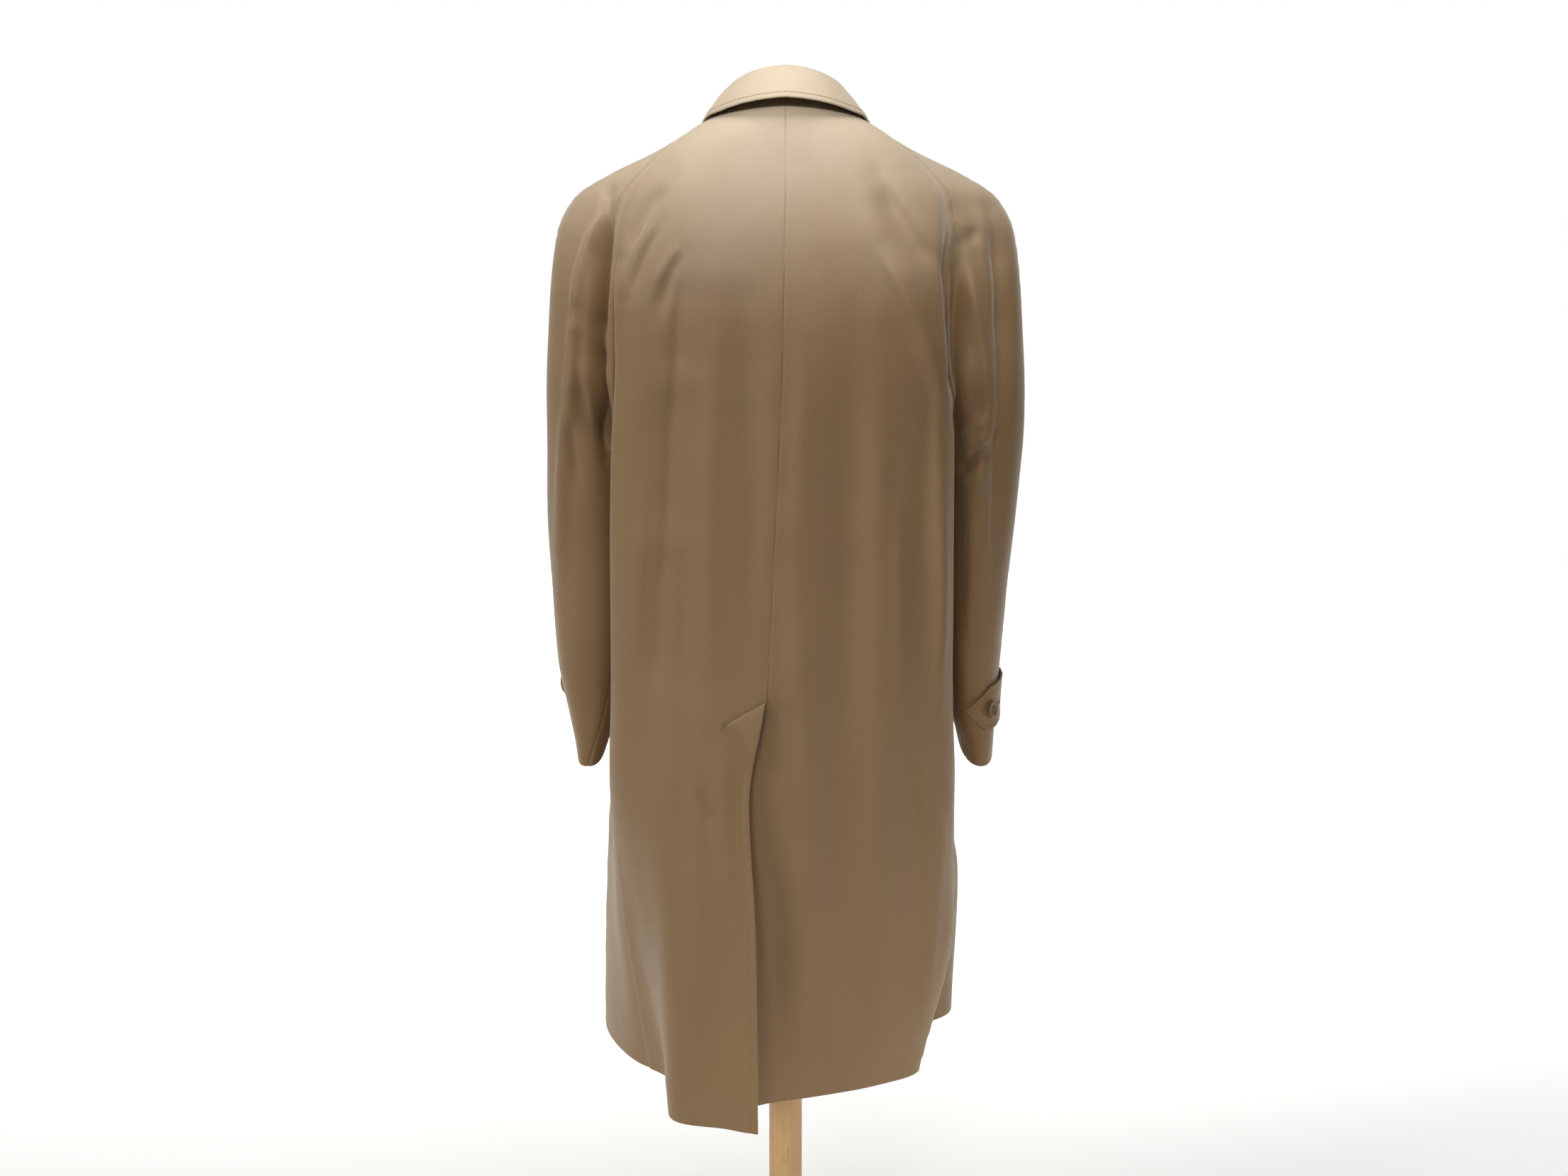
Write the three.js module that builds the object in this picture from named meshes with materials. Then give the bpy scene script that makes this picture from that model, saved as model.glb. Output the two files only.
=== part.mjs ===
// A raglan raincoat on a limbless dress form that stands on a round wooden base.
// Millimetres, +Z up. The floor is z = 0 and the pole's axis is x = 0, y = 0.
// The coat faces -Y, so its back is at +Y and the wearer's left side is at +X.
// Every cloth panel is a wall of one thickness, cut from the body surface or a sleeve surface along its seams.
import * as THREE from "three";

// ---- driving sizes ----
const HEM_Z = 423;
const UNDERARM_Z = 1135;
const ARMHOLE_RISE = 92; // height of the round bottom of the armhole
const NECK_SIDE_Z = 1485;
const VENT_TOP_Z = 884;
const UNDERLAP_TOP_Z = 862;
const CLOTH = 1.8; // wall of the coat's panels
const COLLAR_CLOTH = 2.2;
const TAB_CLOTH = 2;
const SEAM_GAP = 0.32; // free gap between two pieces that are sewn together
const LAP_GAP = 4; // how far the under layer of a lap lies behind the upper one
const FRONT_LAP = 30; // each front reaches this far past the centre line
const LAP_DROP = 1.4; // the lap's top edge lies this far under the neckline, clear of the collar
const VENT_UNDERLAP = 42; // the right back reaches this far behind the left one in the vent
const COLLAR_STEPS = 20; // stations on each side of the collar
const FOLD_RADIUS = 3.6; // of the collar's turned-down edge
const TAB_LENGTH = 78;
const TAB_WIDTH = 45;
const TAB_POINT = 22; // length of the tab's pointed end
const TAB_SLANT = 0.2; // the tab falls this far for each millimetre towards its point
const BUTTON_RADIUS = 10;
const BUTTON_THICK = 3.4;
const POLE_RADIUS = 20;
const BASE_RADIUS = 190;
const BASE_THICK = 24;
const FORM_BOTTOM_Z = 800;
const FORM_CLEARANCE = 0.45; // between the form's shoulder and the cloth that rests on it

// ---- body sections ----
// Each row is half of a section, from the centre back round to the centre front.
// u = 0 centre back, 1 wing (back edge of the body, and the raglan seam over the armhole), 1.5 tuck beside the sleeve,
// 2 side seam, 3 fore (front edge of the body, and the front raglan seam), 4 centre front.
// slope is the direction of the back at the centre. rise lifts the centre back over z, dip drops the centre front.
const SECTION = ["z", "backX", "back", "slope", "wingX", "wingY", "tuckX", "tuckY", "sideX", "sideY",
  "foreX", "foreY", "front", "rise", "dip"];
const SHOULDER_ROWS = [
  [1225, 3, 147, 0, 180, 98, 172, 58, 166, 12, 166, -86, -150, 0, 3],
  [1280, 2, 143, 0, 180, 98, 180, 55, 176, 12, 168, -82, -146, 0, 6],
  [1345, 1, 134, 0, 178, 90, 184, 50, 182, 10, 162, -80, -136, 3, 12],
  [1392, 0, 122, 0, 170, 79, 180, 44, 180, 6, 152, -77, -123, 7, 22],
  [1430, 0, 110, 0, 140, 72, 155, 40, 160, 4, 126, -74, -110, 11, 34],
  [1455, 0, 101, 0, 110, 67, 126, 38, 132, 2, 98, -72, -102, 14, 44],
  [1474, 0, 89, 0, 80, 58, 94, 32, 98, 0, 72, -68, -94, 17, 54],
  [NECK_SIDE_Z, 0, 68, 0, 57, 47, 72, 26, 77, 0, 55, -60, -86, 18, 62],
];
const SECTIONS = {
  left: table(SECTION, [
    [HEM_Z, 30, 214, -0.12, 160, 76, 190, 40, 219, -38, 174, -148, -205, -8, 0],
    [620, 32, 194, -0.1, 184, 106, 198, 54, 211, -12, 172, -138, -196, 0, 0],
    [770, 39, 178, -0.04, 195, 99, 188, 62, 201, -4, 170, -118, -186, 0, 0],
    [862, 24, 170, 0, 190, 98, 172, 62, 163, 4, 164, -110, -179, 0, 0],
    [900, 18, 166, 0, 189, 97, 171, 62, 160, 5, 163, -108, -176, 0, 0],
    [1030, 12, 158, 0, 187, 97, 166, 62, 153, 8, 159, -104, -166, 0, 0],
    [UNDERARM_Z, 7, 152, 0, 184, 98, 154, 56, 151, 9, 158, -98, -158, 0, 0],
    ...SHOULDER_ROWS,
  ]),
  right: table(SECTION, [
    [HEM_Z, -30, 172, -0.5, 148, 80, 164, 36, 179, -44, 212, -117, -205, 0, 0],
    [620, -32, 171, -0.2, 184, 92, 188, 45, 201, -18, 186, -126, -196, 0, 0],
    [770, -39, 170, -0.06, 184, 92, 176, 58, 172, 0, 168, -116, -186, 0, 0],
    [862, -24, 167, 0, 181, 93, 170, 60, 162, 4, 164, -110, -179, 0, 0],
    [900, -18, 166, 0, 180, 93, 168, 60, 158, 5, 163, -108, -176, 0, 0],
    [1030, -12, 158, 0, 178, 95, 163, 61, 152, 8, 159, -104, -166, 0, 0],
    [UNDERARM_Z, -7, 152, 0, 177, 97, 154, 56, 151, 9, 158, -98, -158, 0, 0],
    ...SHOULDER_ROWS.map((row) => [row[0], -row[1], ...row.slice(2)]),
  ]),
};

// Soft folds of the body. footU and headU place the crest at the hem and at the head, width and depth are in mm,
// and the fold dies away towards its head. A depth under 0 is a trough.
const FOLD = ["footU", "headU", "width", "depth", "head"];
const FOLDS = {
  left: table(FOLD, [
    [0.47, 0.34, 28, 30, 1000],
    [0.84, 0.9, 22, -8, 850],
    [2.6, 2.5, 46, 14, 900],
    [3.3, 3.3, 46, -12, 860],
  ]),
  right: table(FOLD, [
    [0.98, 1.0, 26, 8, 1000],
    [1.5, 1.45, 40, -8, 800],
    [2.35, 2.3, 40, 14, 820],
    [3.3, 3.3, 46, -12, 860],
  ]),
};

// ---- sleeve sections ----
// The ridge is the overarm line, one row for each height of the raglan seam that it faces. leave is the angle, in
// degrees from the outward direction, at which the sleeve leaves the seam; start and end are its curve's handles.
const RIDGE = table(["seamZ", "x", "y", "z", "leave", "start", "end"], [
  [UNDERARM_Z, 265, 9, UNDERARM_Z, 90, 101, 101],
  [1147, 265, 9, 1155, 46, 64, 96],
  [1168, 265, 8, 1183, 30, 50, 90],
  [1196, 264, 7, 1217, 10, 42, 84],
  [1227, 262, 5, 1252, -6, 38, 78],
  [1280, 258, 3, 1312, -20, 36, 70],
  [1345, 250, 1, 1368, -36, 32, 58],
  [1392, 232, 0, 1403.5, -46, 30, 46],
  [1433, 189, 0, 1431, -54, 28, 36],
  [1455, 149, 0, 1447.5, -57, 26, 30],
  [1474, 106, 0, 1466, -62, 20, 22],
  [NECK_SIDE_Z, 77, 0, 1479, -66, 12, 14],
]);
// Below the underarm: rings that hang beside the body. reach is half of a ring's depth, front to back, tilt lowers
// its back, and under and over turn the two sleeve seams round the ring (1 is half way round).
const RING = ["z", "outerX", "innerX", "middleY", "reach", "tilt", "under", "over"];
const CUFF_SQUARE = { left: 0.68, right: 0.86 }; // 1 makes the cuff an ellipse, and less makes it more of a rectangle
const RINGS = {
  left: table(RING, [
    [792, 239, 207, -6, 68, 0.2, 0.5, 0.5],
    [812, 242, 200, -5, 70, 0.16, 0.46, 0.48],
    [840, 248, 191, -4, 72, 0.12, 0.38, 0.45],
    [900, 260, 180, -2, 73, 0.05, 0.28, 0.25],
    [980, 265, 171, 1, 72, 0, 0.2, 0.08],
    [1060, 268, 163, 5, 74, 0, 0.12, 0],
    [UNDERARM_Z, 266, 151, 9, 76, 0, 0, 0],
  ]),
  right: table(RING, [
    [792, 239, 201, -6, 68, 0.2, 0.22, -0.06],
    [812, 240, 196, -5, 70, 0.16, 0.22, -0.06],
    [840, 241, 186, -4, 72, 0.12, 0.22, -0.06],
    [900, 246, 176, -2, 73, 0.05, 0.22, -0.04],
    [980, 252, 168, 1, 72, 0, 0.2, 0],
    [1060, 259, 161, 5, 74, 0, 0.14, 0],
    [UNDERARM_Z, 264, 151, 9, 76, 0, 0, 0],
  ]),
};
// Folds of a sleeve: turn is the place round the ring (0 inner, 1 outer, by way of the back), lean turns it with
// height, width runs round the ring and tall along the arm.
const SLEEVE_FOLD = ["turn", "lean", "z", "width", "tall", "depth"];
const SLEEVE_FOLDS = {
  left: table(SLEEVE_FOLD, [
    [0.3, 0.0006, 1150, 20, 90, -7],
    [0.62, 0, 1010, 30, 60, -4],
  ]),
  right: table(SLEEVE_FOLD, [
    [0.28, 0.0004, 1170, 20, 90, -7],
    [0.45, 0.004, 1075, 18, 26, -5],
  ]),
};

// ---- rows and columns ----
const BODY_ROWS_BELOW = [HEM_Z, 480, 545, 615, 685, 745, 800, UNDERLAP_TOP_Z, VENT_TOP_Z, 940, 1010, 1075];
const SLEEVE_ROWS_BELOW = [792, 812, 840, 880, 924, 972, 1020, 1060, 1100];
const ROUND_STEPS = 4; // rows round the bottom of the armhole
const ROWS_TO_NECK = [1270, 1315, 1355, 1385, 1410, 1433, 1455, 1472, NECK_SIDE_Z];
const BACK_COLUMNS = { toWing: 9, toSide: 5 };
const FRONT_COLUMNS = { toFore: 4, toCentre: 7, lap: 2 };
const SLEEVE_COLUMNS = 12;

// ---- the collar ----
// Stations from the centre back (s = 0) along the neckline to the centre front (s = 1). The stand rises from the
// neckline and leans out, then the fall runs out, drops and slides back along the neckline to its edge.
const COLLAR = table(["s", "stand", "lean", "out", "drop", "back", "bulge"], [
  [0, 32, 2, 35, 35.5, 0, 2],
  [0.12, 30.5, 0.5, 35, 36, 0, 2],
  [0.25, 27, -3, 33, 35, 0, 2],
  [0.36, 24.5, -6, 29, 30, 0, 2],
  [0.46, 22, -8, 23, 23, -4, 2],
  [0.6, 19, -3, 20, 21, -2, 3],
  [0.74, 16, -2, 27, 23, 3, 5],
  [0.88, 11, 0, 44, 36, 18, 7],
  [1, 6, 1, 58, 52, 42, 8],
]);

// ---- the form ----
// Rings from the bottom up to the armhole plates, and rings of the neck. Between them lie the shoulders.
const FORM_COLUMNS = ["z", "back", "wingX", "wingY", "sideX", "sideY", "sideZ", "foreX", "foreY", "front", "rise", "dip"];
const FORM_TRUNK = table(FORM_COLUMNS, [
  [FORM_BOTTOM_Z, 122, 98, 96, 152, 2, 800, 104, -92, -108, 0, 0],
  [820, 126, 100, 99, 154, 2, 820, 106, -95, -112, 0, 0],
  [900, 128, 100, 100, 150, 2, 900, 104, -92, -112, 0, 0],
  [980, 116, 94, 90, 140, 2, 980, 98, -88, -108, 0, 0],
  [1060, 110, 92, 88, 134, 2, 1060, 96, -88, -110, 0, 0],
  [1135, 120, 98, 92, 140, 4, 1135, 102, -90, -120, 0, 0],
  [1225, 132, 108, 98, 150, 4, 1225, 110, -90, -130, 0, 0],
  [1300, 130, 116, 92, 164, 2, 1305, 112, -82, -122, 0, 4],
  [1355, 120, 122, 78, 176, 1, 1362, 112, -70, -110, 4, 12],
  [1395, 110, 124, 64, 182, 0, 1400, 110, -60, -98, 7, 22],
]);
const FORM_NECK = table(FORM_COLUMNS, [
  [1493, 57, 41, 39, 59, 0, 1494, 41, -44, -62, 8, 34],
  [1504, 55, 40, 38, 57, 0, 1504, 40, -42, -57, 3, 14],
  [1516, 54, 39, 37, 55, 0, 1516, 39, -40, -54, 0, 0],
]);
// The shoulders follow the coat from the inside: how far in at the overarm ridge, and how much farther elsewhere.
const FORM_SHOULDER = table(["seamZ", "ridge", "elsewhere"], [
  [1433, CLOTH + FORM_CLEARANCE, 7],
  [1455, CLOTH + FORM_CLEARANCE, 7],
  [1472, CLOTH + FORM_CLEARANCE, 6],
  [1484, 7, 2],
]);
const FORM_STEPS = 4; // points of a form ring from one key point to the next

// ---- small helpers ----
function table(columns, rows) {
  return rows.map((row) => Object.fromEntries(columns.map((name, i) => [name, row[i]])));
}

const lerp = (a, b, t) => a + (b - a) * t;
const mirrorOf = (side) => (side === "left" ? 1 : -1);
const otherSide = (side) => (side === "left" ? "right" : "left");

function smooth(t) {
  const c = Math.min(1, Math.max(0, t));
  return c * c * (3 - 2 * c);
}

function hermite(a, b, ta, tb, t) {
  const t2 = t * t;
  const t3 = t2 * t;
  return a * (2 * t3 - 3 * t2 + 1) + ta * (t3 - 2 * t2 + t) + b * (3 * t2 - 2 * t3) + tb * (t3 - t2);
}

// A column of a table at a given height: a cubic through the rows that never swings past them.
function column(rows, name, at, key = "z") {
  const n = rows.length;
  if (at <= rows[0][key]) return rows[0][name];
  if (at >= rows[n - 1][key]) return rows[n - 1][name];
  const step = (k) => (rows[k + 1][name] - rows[k][name]) / (rows[k + 1][key] - rows[k][key]);
  const slopeAt = (k) => {
    if (k === 0) return step(0);
    if (k === n - 1) return step(n - 2);
    const [a, b] = [step(k - 1), step(k)];
    return a * b <= 0 ? 0 : (2 * a * b) / (a + b);
  };
  let i = 0;
  while (rows[i + 1][key] < at) i++;
  const gap = rows[i + 1][key] - rows[i][key];
  return hermite(rows[i][name], rows[i + 1][name], slopeAt(i) * gap, slopeAt(i + 1) * gap, (at - rows[i][key]) / gap);
}

// ---- the body surface ----
const KEY_U = [0, 1, 1.5, 2, 3, 4];

// A point of the plain section, before folds. X grows away from the centre line.
function sectionPoint(side, u, z) {
  const at = (name) => column(SECTIONS[side], name, z);
  const keys = [
    [at("backX"), at("back")],
    [at("wingX"), at("wingY")],
    [at("tuckX"), at("tuckY")],
    [at("sideX"), at("sideY")],
    [at("foreX"), at("foreY")],
    [0, at("front")],
  ];
  const last = keys.length - 1;
  const span = (k) => Math.hypot(keys[k + 1][0] - keys[k][0], keys[k + 1][1] - keys[k][1]);
  const tangent = (k, axis) => {
    if (k === 0) return [1, at("slope")][axis];
    if (k === last) return [-1, 0][axis];
    const before = (keys[k][axis] - keys[k - 1][axis]) / span(k - 1);
    const after = (keys[k + 1][axis] - keys[k][axis]) / span(k);
    return (before * span(k) + after * span(k - 1)) / (span(k - 1) + span(k));
  };
  let i = 0;
  while (i < last - 1 && KEY_U[i + 1] <= u) i++;
  const t = (u - KEY_U[i]) / (KEY_U[i + 1] - KEY_U[i]);
  return [0, 1].map((axis) =>
    hermite(keys[i][axis], keys[i + 1][axis], tangent(i, axis) * span(i), tangent(i + 1, axis) * span(i), t));
}

// How far the folds push the body surface out at (u, z).
function foldDepth(side, u, z) {
  const perUnit = u < 1 || u > 3 ? 150 : 105; // mm of cloth for each step of u
  return FOLDS[side].reduce((sum, fold) => {
    const share = (z - HEM_Z) / (fold.head - HEM_Z);
    const away = ((u - lerp(fold.footU, fold.headU, share)) * perUnit) / fold.width;
    return sum + fold.depth * Math.exp(-away * away) * (1 - smooth(share));
  }, 0);
}

// The under layer of a lap lies deeper: the right front under the left one, and the right back inside the vent.
function lapDepth(u, x, z) {
  if (u > 2) return LAP_GAP * (1 - smooth((x - FRONT_LAP - 8) / 40));
  const inVent = smooth((VENT_TOP_Z - z) / (VENT_TOP_Z - UNDERLAP_TOP_Z));
  return LAP_GAP * inVent * (1 - smooth((x + 30) / 60));
}

// A point of the body surface before folds and laps. u under 0 runs straight on past the centre back.
function plainBodyPoint(side, u, z) {
  const w = Math.max(0, u);
  const past = Math.min(0, u) * VENT_UNDERLAP;
  const [x, y] = sectionPoint(side, w, z);
  const sections = SECTIONS[side];
  const lift = w < 2 ? column(sections, "rise", z) * (0.5 + 0.5 * Math.cos((Math.PI * w) / 2)) : 0;
  const drop = w > 2 ? column(sections, "dip", z) * (0.5 - 0.5 * Math.cos((Math.PI * (w - 2)) / 2)) : 0;
  return new THREE.Vector3(mirrorOf(side) * (x + past), y + column(sections, "slope", z) * past, z + lift - drop);
}

// The outward normal of a surface given as a function of a place along the row and a height.
function normalOf(surface, along, z, sense) {
  const across = surface(along + 0.01, z).sub(surface(along - 0.01, z));
  const up = surface(along, z + 1.5).sub(surface(along, z - 1.5));
  return across.cross(up).multiplyScalar(sense).normalize();
}

// A point of the coat's body. u over 4 runs on past the centre front, on the other side's surface.
function bodyPoint(side, u, z, under = side === "right") {
  if (u > 4) return bodyPoint(otherSide(side), 8 - u, z, under);
  const w = Math.max(0, u);
  const point = plainBodyPoint(side, u, z);
  const folds = foldDepth(side, w, z) * smooth(w / 0.3) * smooth((4 - w) / 0.4);
  const depth = folds - (under ? lapDepth(w, mirrorOf(side) * point.x, z) : 0);
  if (depth === 0) return point;
  const inside = Math.min(3.985, Math.max(0.015, w));
  const normal = normalOf((a, h) => plainBodyPoint(side, a, h), inside, z, -mirrorOf(side));
  if (w > 3.98) normal.setX(0).normalize();
  return point.addScaledVector(normal, depth);
}

// Rows over the underarm, with the u of the back raglan seam on each: a quarter round, then straight to the neck.
const ROWS_ABOVE = [];
for (let k = 1; k <= ROUND_STEPS; k++) {
  const angle = (Math.PI / 2) * lerp(0.11, 1, k / ROUND_STEPS);
  ROWS_ABOVE.push({ z: UNDERARM_Z + ARMHOLE_RISE * (1 - Math.cos(angle)), seam: 2 - Math.sin(angle) });
}
for (const z of ROWS_TO_NECK) ROWS_ABOVE.push({ z, seam: 1 });

const rowsOver = (heights) => [...heights, UNDERARM_Z].map((z) => ({ z, seam: 2 })).concat(ROWS_ABOVE);
const BODY_ROWS = rowsOver(BODY_ROWS_BELOW);
const SLEEVE_ROWS = rowsOver(SLEEVE_ROWS_BELOW);
const NECK_ROW = BODY_ROWS[BODY_ROWS.length - 1];

// ---- the sleeve surface ----
function bezier(a, b, c, d, t) {
  const s = 1 - t;
  return new THREE.Vector3()
    .addScaledVector(a, s * s * s)
    .addScaledVector(b, 3 * s * s * t)
    .addScaledVector(c, 3 * s * t * t)
    .addScaledVector(d, t * t * t);
}

// One half of a ring below the underarm, t = 0 at the inner side and 1 at the outer side.
function ringHalf(side, face, z, t) {
  const at = (name) => column(RINGS[side], name, z);
  const way = face === "back" ? 1 : -1;
  const inner = new THREE.Vector3(mirrorOf(side) * at("innerX"), at("middleY"), z);
  const outer = new THREE.Vector3(mirrorOf(side) * at("outerX"), at("middleY"), z);
  const handle = new THREE.Vector3(0, (way * at("reach") * 4) / 3, 0);
  const p = bezier(inner, inner.clone().add(handle), outer.clone().add(handle), outer, t);
  const [c, s] = [Math.cos(Math.PI * t), Math.sin(Math.PI * t)];
  const square = new THREE.Vector3(
    lerp(outer.x, inner.x, 0.5 + 0.5 * Math.sign(c) * Math.abs(c) ** CUFF_SQUARE[side]),
    at("middleY") + way * at("reach") * Math.max(0, s) ** CUFF_SQUARE[side],
    z,
  );
  p.lerp(square, smooth((1100 - z) / 280));
  p.z -= at("tilt") * (p.y - at("middleY"));
  return p;
}

// One half of a row over the underarm, t = 0 at the raglan seam and 1 on the overarm ridge.
function shoulderHalf(side, face, row, t, plain) {
  const at = (name) => column(RIDGE, name, row.z, "seamZ");
  const way = face === "back" ? 1 : -1;
  const seam = (plain ? plainBodyPoint : bodyPoint)(side, face === "back" ? row.seam : 4 - row.seam, row.z);
  const ridge = new THREE.Vector3(mirrorOf(side) * at("x"), at("y"), at("z"));
  const angle = (at("leave") * Math.PI) / 180;
  const fall = (ridge.z - seam.z) / seam.distanceTo(ridge); // the row's own slope, taken up evenly from the seam
  const leave = new THREE.Vector3(mirrorOf(side) * Math.cos(angle), way * Math.sin(angle), fall).normalize();
  const a = seam.clone().addScaledVector(leave, at("start"));
  const b = ridge.clone().add(new THREE.Vector3(0, way * at("end"), 0));
  return bezier(seam, a, b, ridge, t);
}

// A point of a sleeve. w = 0 inner side or back raglan seam, 1 overarm, 2 inner side or front raglan seam.
function plainSleevePoint(side, row, w, plain = true) {
  const half = row.z <= UNDERARM_Z ? (face, t) => ringHalf(side, face, row.z, t)
    : (face, t) => shoulderHalf(side, face, row, t, plain);
  if (w <= 1) return half("back", w);
  if (w <= 2) return half("front", 2 - w);
  return half("back", w - 2);
}

function sleevePoint(side, row, w) {
  const p = plainSleevePoint(side, row, w, false);
  const depth = SLEEVE_FOLDS[side].reduce((sum, fold) => {
    const turn = w - fold.turn - fold.lean * (row.z - fold.z);
    const round = ((turn > 1 ? turn - 2 : turn) * 155) / fold.width;
    const along = (row.z - fold.z) / fold.tall;
    return sum + fold.depth * Math.exp(-round * round - along * along);
  }, 0);
  const seamFade = row.z <= UNDERARM_Z ? 1 : smooth(w / 0.12) * smooth((2 - w) / 0.12);
  const ahead = plainSleevePoint(side, row, Math.min(2.99, w + 0.01));
  const behind = plainSleevePoint(side, row, Math.max(0, w - 0.01));
  const outward = ahead.sub(behind).cross(new THREE.Vector3(0, 0, -mirrorOf(side))).normalize();
  return p.addScaledVector(outward, depth * seamFade);
}

// ---- from a grid of points to a closed wall ----
// grid[j][i] is a point, or null where the panel is cut away. Seen from outside, columns run to the right and rows
// upwards.
const cellAt = (grid, j, i) => Boolean(grid[j]?.[i] && grid[j][i + 1] && grid[j + 1]?.[i] && grid[j + 1][i + 1]);

function gridNormals(grid) {
  return grid.map((line, j) => line.map((point, i) => {
    if (!point) return null;
    const along = (line[i + 1] ?? point).clone().sub(line[i - 1] ?? point);
    const up = (grid[j + 1]?.[i] ?? point).clone().sub(grid[j - 1]?.[i] ?? point);
    return along.cross(up).normalize();
  }));
}

// Moves the points on the panel's edges in along the surface by half of the seam gap.
function trimmed(grid) {
  return grid.map((line, j) => line.map((point, i) => {
    if (!point) return null;
    const open = (fullJ, fullI, gapJ, gapI) => cellAt(grid, fullJ, fullI) && !cellAt(grid, gapJ, gapI);
    const moved = point.clone();
    const pull = (other) => moved.add(other.clone().sub(point).setLength(SEAM_GAP / 2));
    if (open(j, i, j, i - 1) || open(j - 1, i, j - 1, i - 1)) pull(line[i + 1]);
    if (open(j, i - 1, j, i) || open(j - 1, i - 1, j - 1, i)) pull(line[i - 1]);
    if (open(j, i, j - 1, i) || open(j, i - 1, j - 1, i - 1)) pull(grid[j + 1][i]);
    if (open(j - 1, i, j, i) || open(j - 1, i - 1, j, i - 1)) pull(grid[j - 1][i]);
    return moved;
  }));
}

function solidFrom(points, index) {
  const geometry = new THREE.BufferGeometry();
  geometry.setAttribute("position", new THREE.Float32BufferAttribute(points.flatMap((p) => [p.x, p.y, p.z]), 3));
  geometry.setIndex(index);
  geometry.computeVertexNormals();
  return geometry;
}

// A closed wall: the grid is its outer face, and the inner face lies one thickness behind it. Mirrored panels split
// their faces along the other diagonal, so that both sides of the coat match.
function wall(grid, normals, thickness, mirrored = false) {
  const columns = grid[0].length;
  const points = [];
  const ids = new Map();
  const edge = trimmed(grid);
  edge.forEach((line, j) => line.forEach((p, i) => {
    if (!p) return;
    ids.set(j * columns + i, points.length);
    points.push(p, p.clone().addScaledVector(normals[j][i], -thickness));
  }));
  const id = (j, i) => ids.get(j * columns + i);
  const index = [];
  const height = (k) => points[k].z + 0.01 * points[k].y;
  // Both panels of a seam split its rim faces along the same diagonal.
  const rim = (p, q) => index.push(...(height(p) < height(q) ? [q, p, p + 1, q, p + 1, q + 1]
    : [q, p, q + 1, p, p + 1, q + 1]));
  for (let j = 0; j < grid.length - 1; j++) {
    for (let i = 0; i < columns - 1; i++) {
      if (!cellAt(grid, j, i)) continue;
      const [a, b, c, d] = [id(j, i), id(j, i + 1), id(j + 1, i + 1), id(j + 1, i)];
      const faces = mirrored ? [a, b, d, b, c, d] : [a, b, c, a, c, d];
      index.push(...faces, ...faces.map((k) => k + 1).reverse());
      if (!cellAt(grid, j - 1, i)) rim(a, b);
      if (!cellAt(grid, j, i + 1)) rim(b, c);
      if (!cellAt(grid, j + 1, i)) rim(c, d);
      if (!cellAt(grid, j, i - 1)) rim(d, a);
    }
  }
  return solidFrom(points, index);
}

// ---- panels of the coat ----
const facing = (grid, flip) => (flip ? grid.map((line) => [...line].reverse()) : grid);

// Steps along a row, 0 to 1 up to the corner of the body and on to seam (1 to 2). Over the round of the armhole they
// pass from stepped, with a column on the corner, to even.
function columnU(i, first, second, seam) {
  const stepped = i <= first ? i / first : 1 + ((i - first) / second) * (seam - 1);
  return lerp((seam * i) / (first + second), stepped, Math.sqrt(Math.min(1, (seam - 1) / 0.4)));
}

function backGrid(side) {
  const count = BACK_COLUMNS.toWing + BACK_COLUMNS.toSide;
  const grid = BODY_ROWS.map((row) => {
    const line = [];
    if (side === "right") line.push(row.z <= UNDERLAP_TOP_Z ? bodyPoint(side, -1, row.z) : null);
    for (let i = 0; i <= count; i++) line.push(bodyPoint(side, columnU(i, BACK_COLUMNS.toWing, BACK_COLUMNS.toSide, row.seam), row.z));
    return line;
  });
  return facing(grid, side === "left");
}

// The u past the centre front at which the panel is FRONT_LAP beyond the centre line.
function lapU(side, z) {
  let u = 4;
  while (Math.abs(bodyPoint(side, u, z).x) < FRONT_LAP) u += 0.01;
  return u;
}

function frontGrid(side) {
  const { toFore, toCentre, lap } = FRONT_COLUMNS;
  const grid = BODY_ROWS.map((row) => {
    const line = [];
    for (let i = toFore + toCentre; i >= 0; i--) {
      line.push(bodyPoint(side, 4 - columnU(i, toCentre, toFore, row.seam), row.z));
    }
    const end = lapU(side, row.z);
    for (let k = 1; k <= lap; k++) line.push(bodyPoint(side, lerp(4, end, k / lap), row.z, side === "right"));
    if (row === NECK_ROW) for (let k = 1; k <= lap; k++) line[line.length - k].z -= LAP_DROP;
    return line;
  });
  return facing(grid, side === "left");
}

// The part of a sleeve from the underarm seam over the back to the overarm seam, or on round the front.
function sleeveGrid(side, face) {
  const grid = SLEEVE_ROWS.map((row) => {
    const under = row.z <= UNDERARM_Z ? column(RINGS[side], "under", row.z) : 0;
    const over = row.z <= UNDERARM_Z ? column(RINGS[side], "over", row.z) : 0;
    const [start, end] = face === "back" ? [under, 1 + over] : [1 + over, 2 + under];
    const line = [];
    for (let i = 0; i <= SLEEVE_COLUMNS; i++) line.push(sleevePoint(side, row, lerp(start, end, i / SLEEVE_COLUMNS)));
    return line;
  });
  return facing(grid, side === "left");
}

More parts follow.
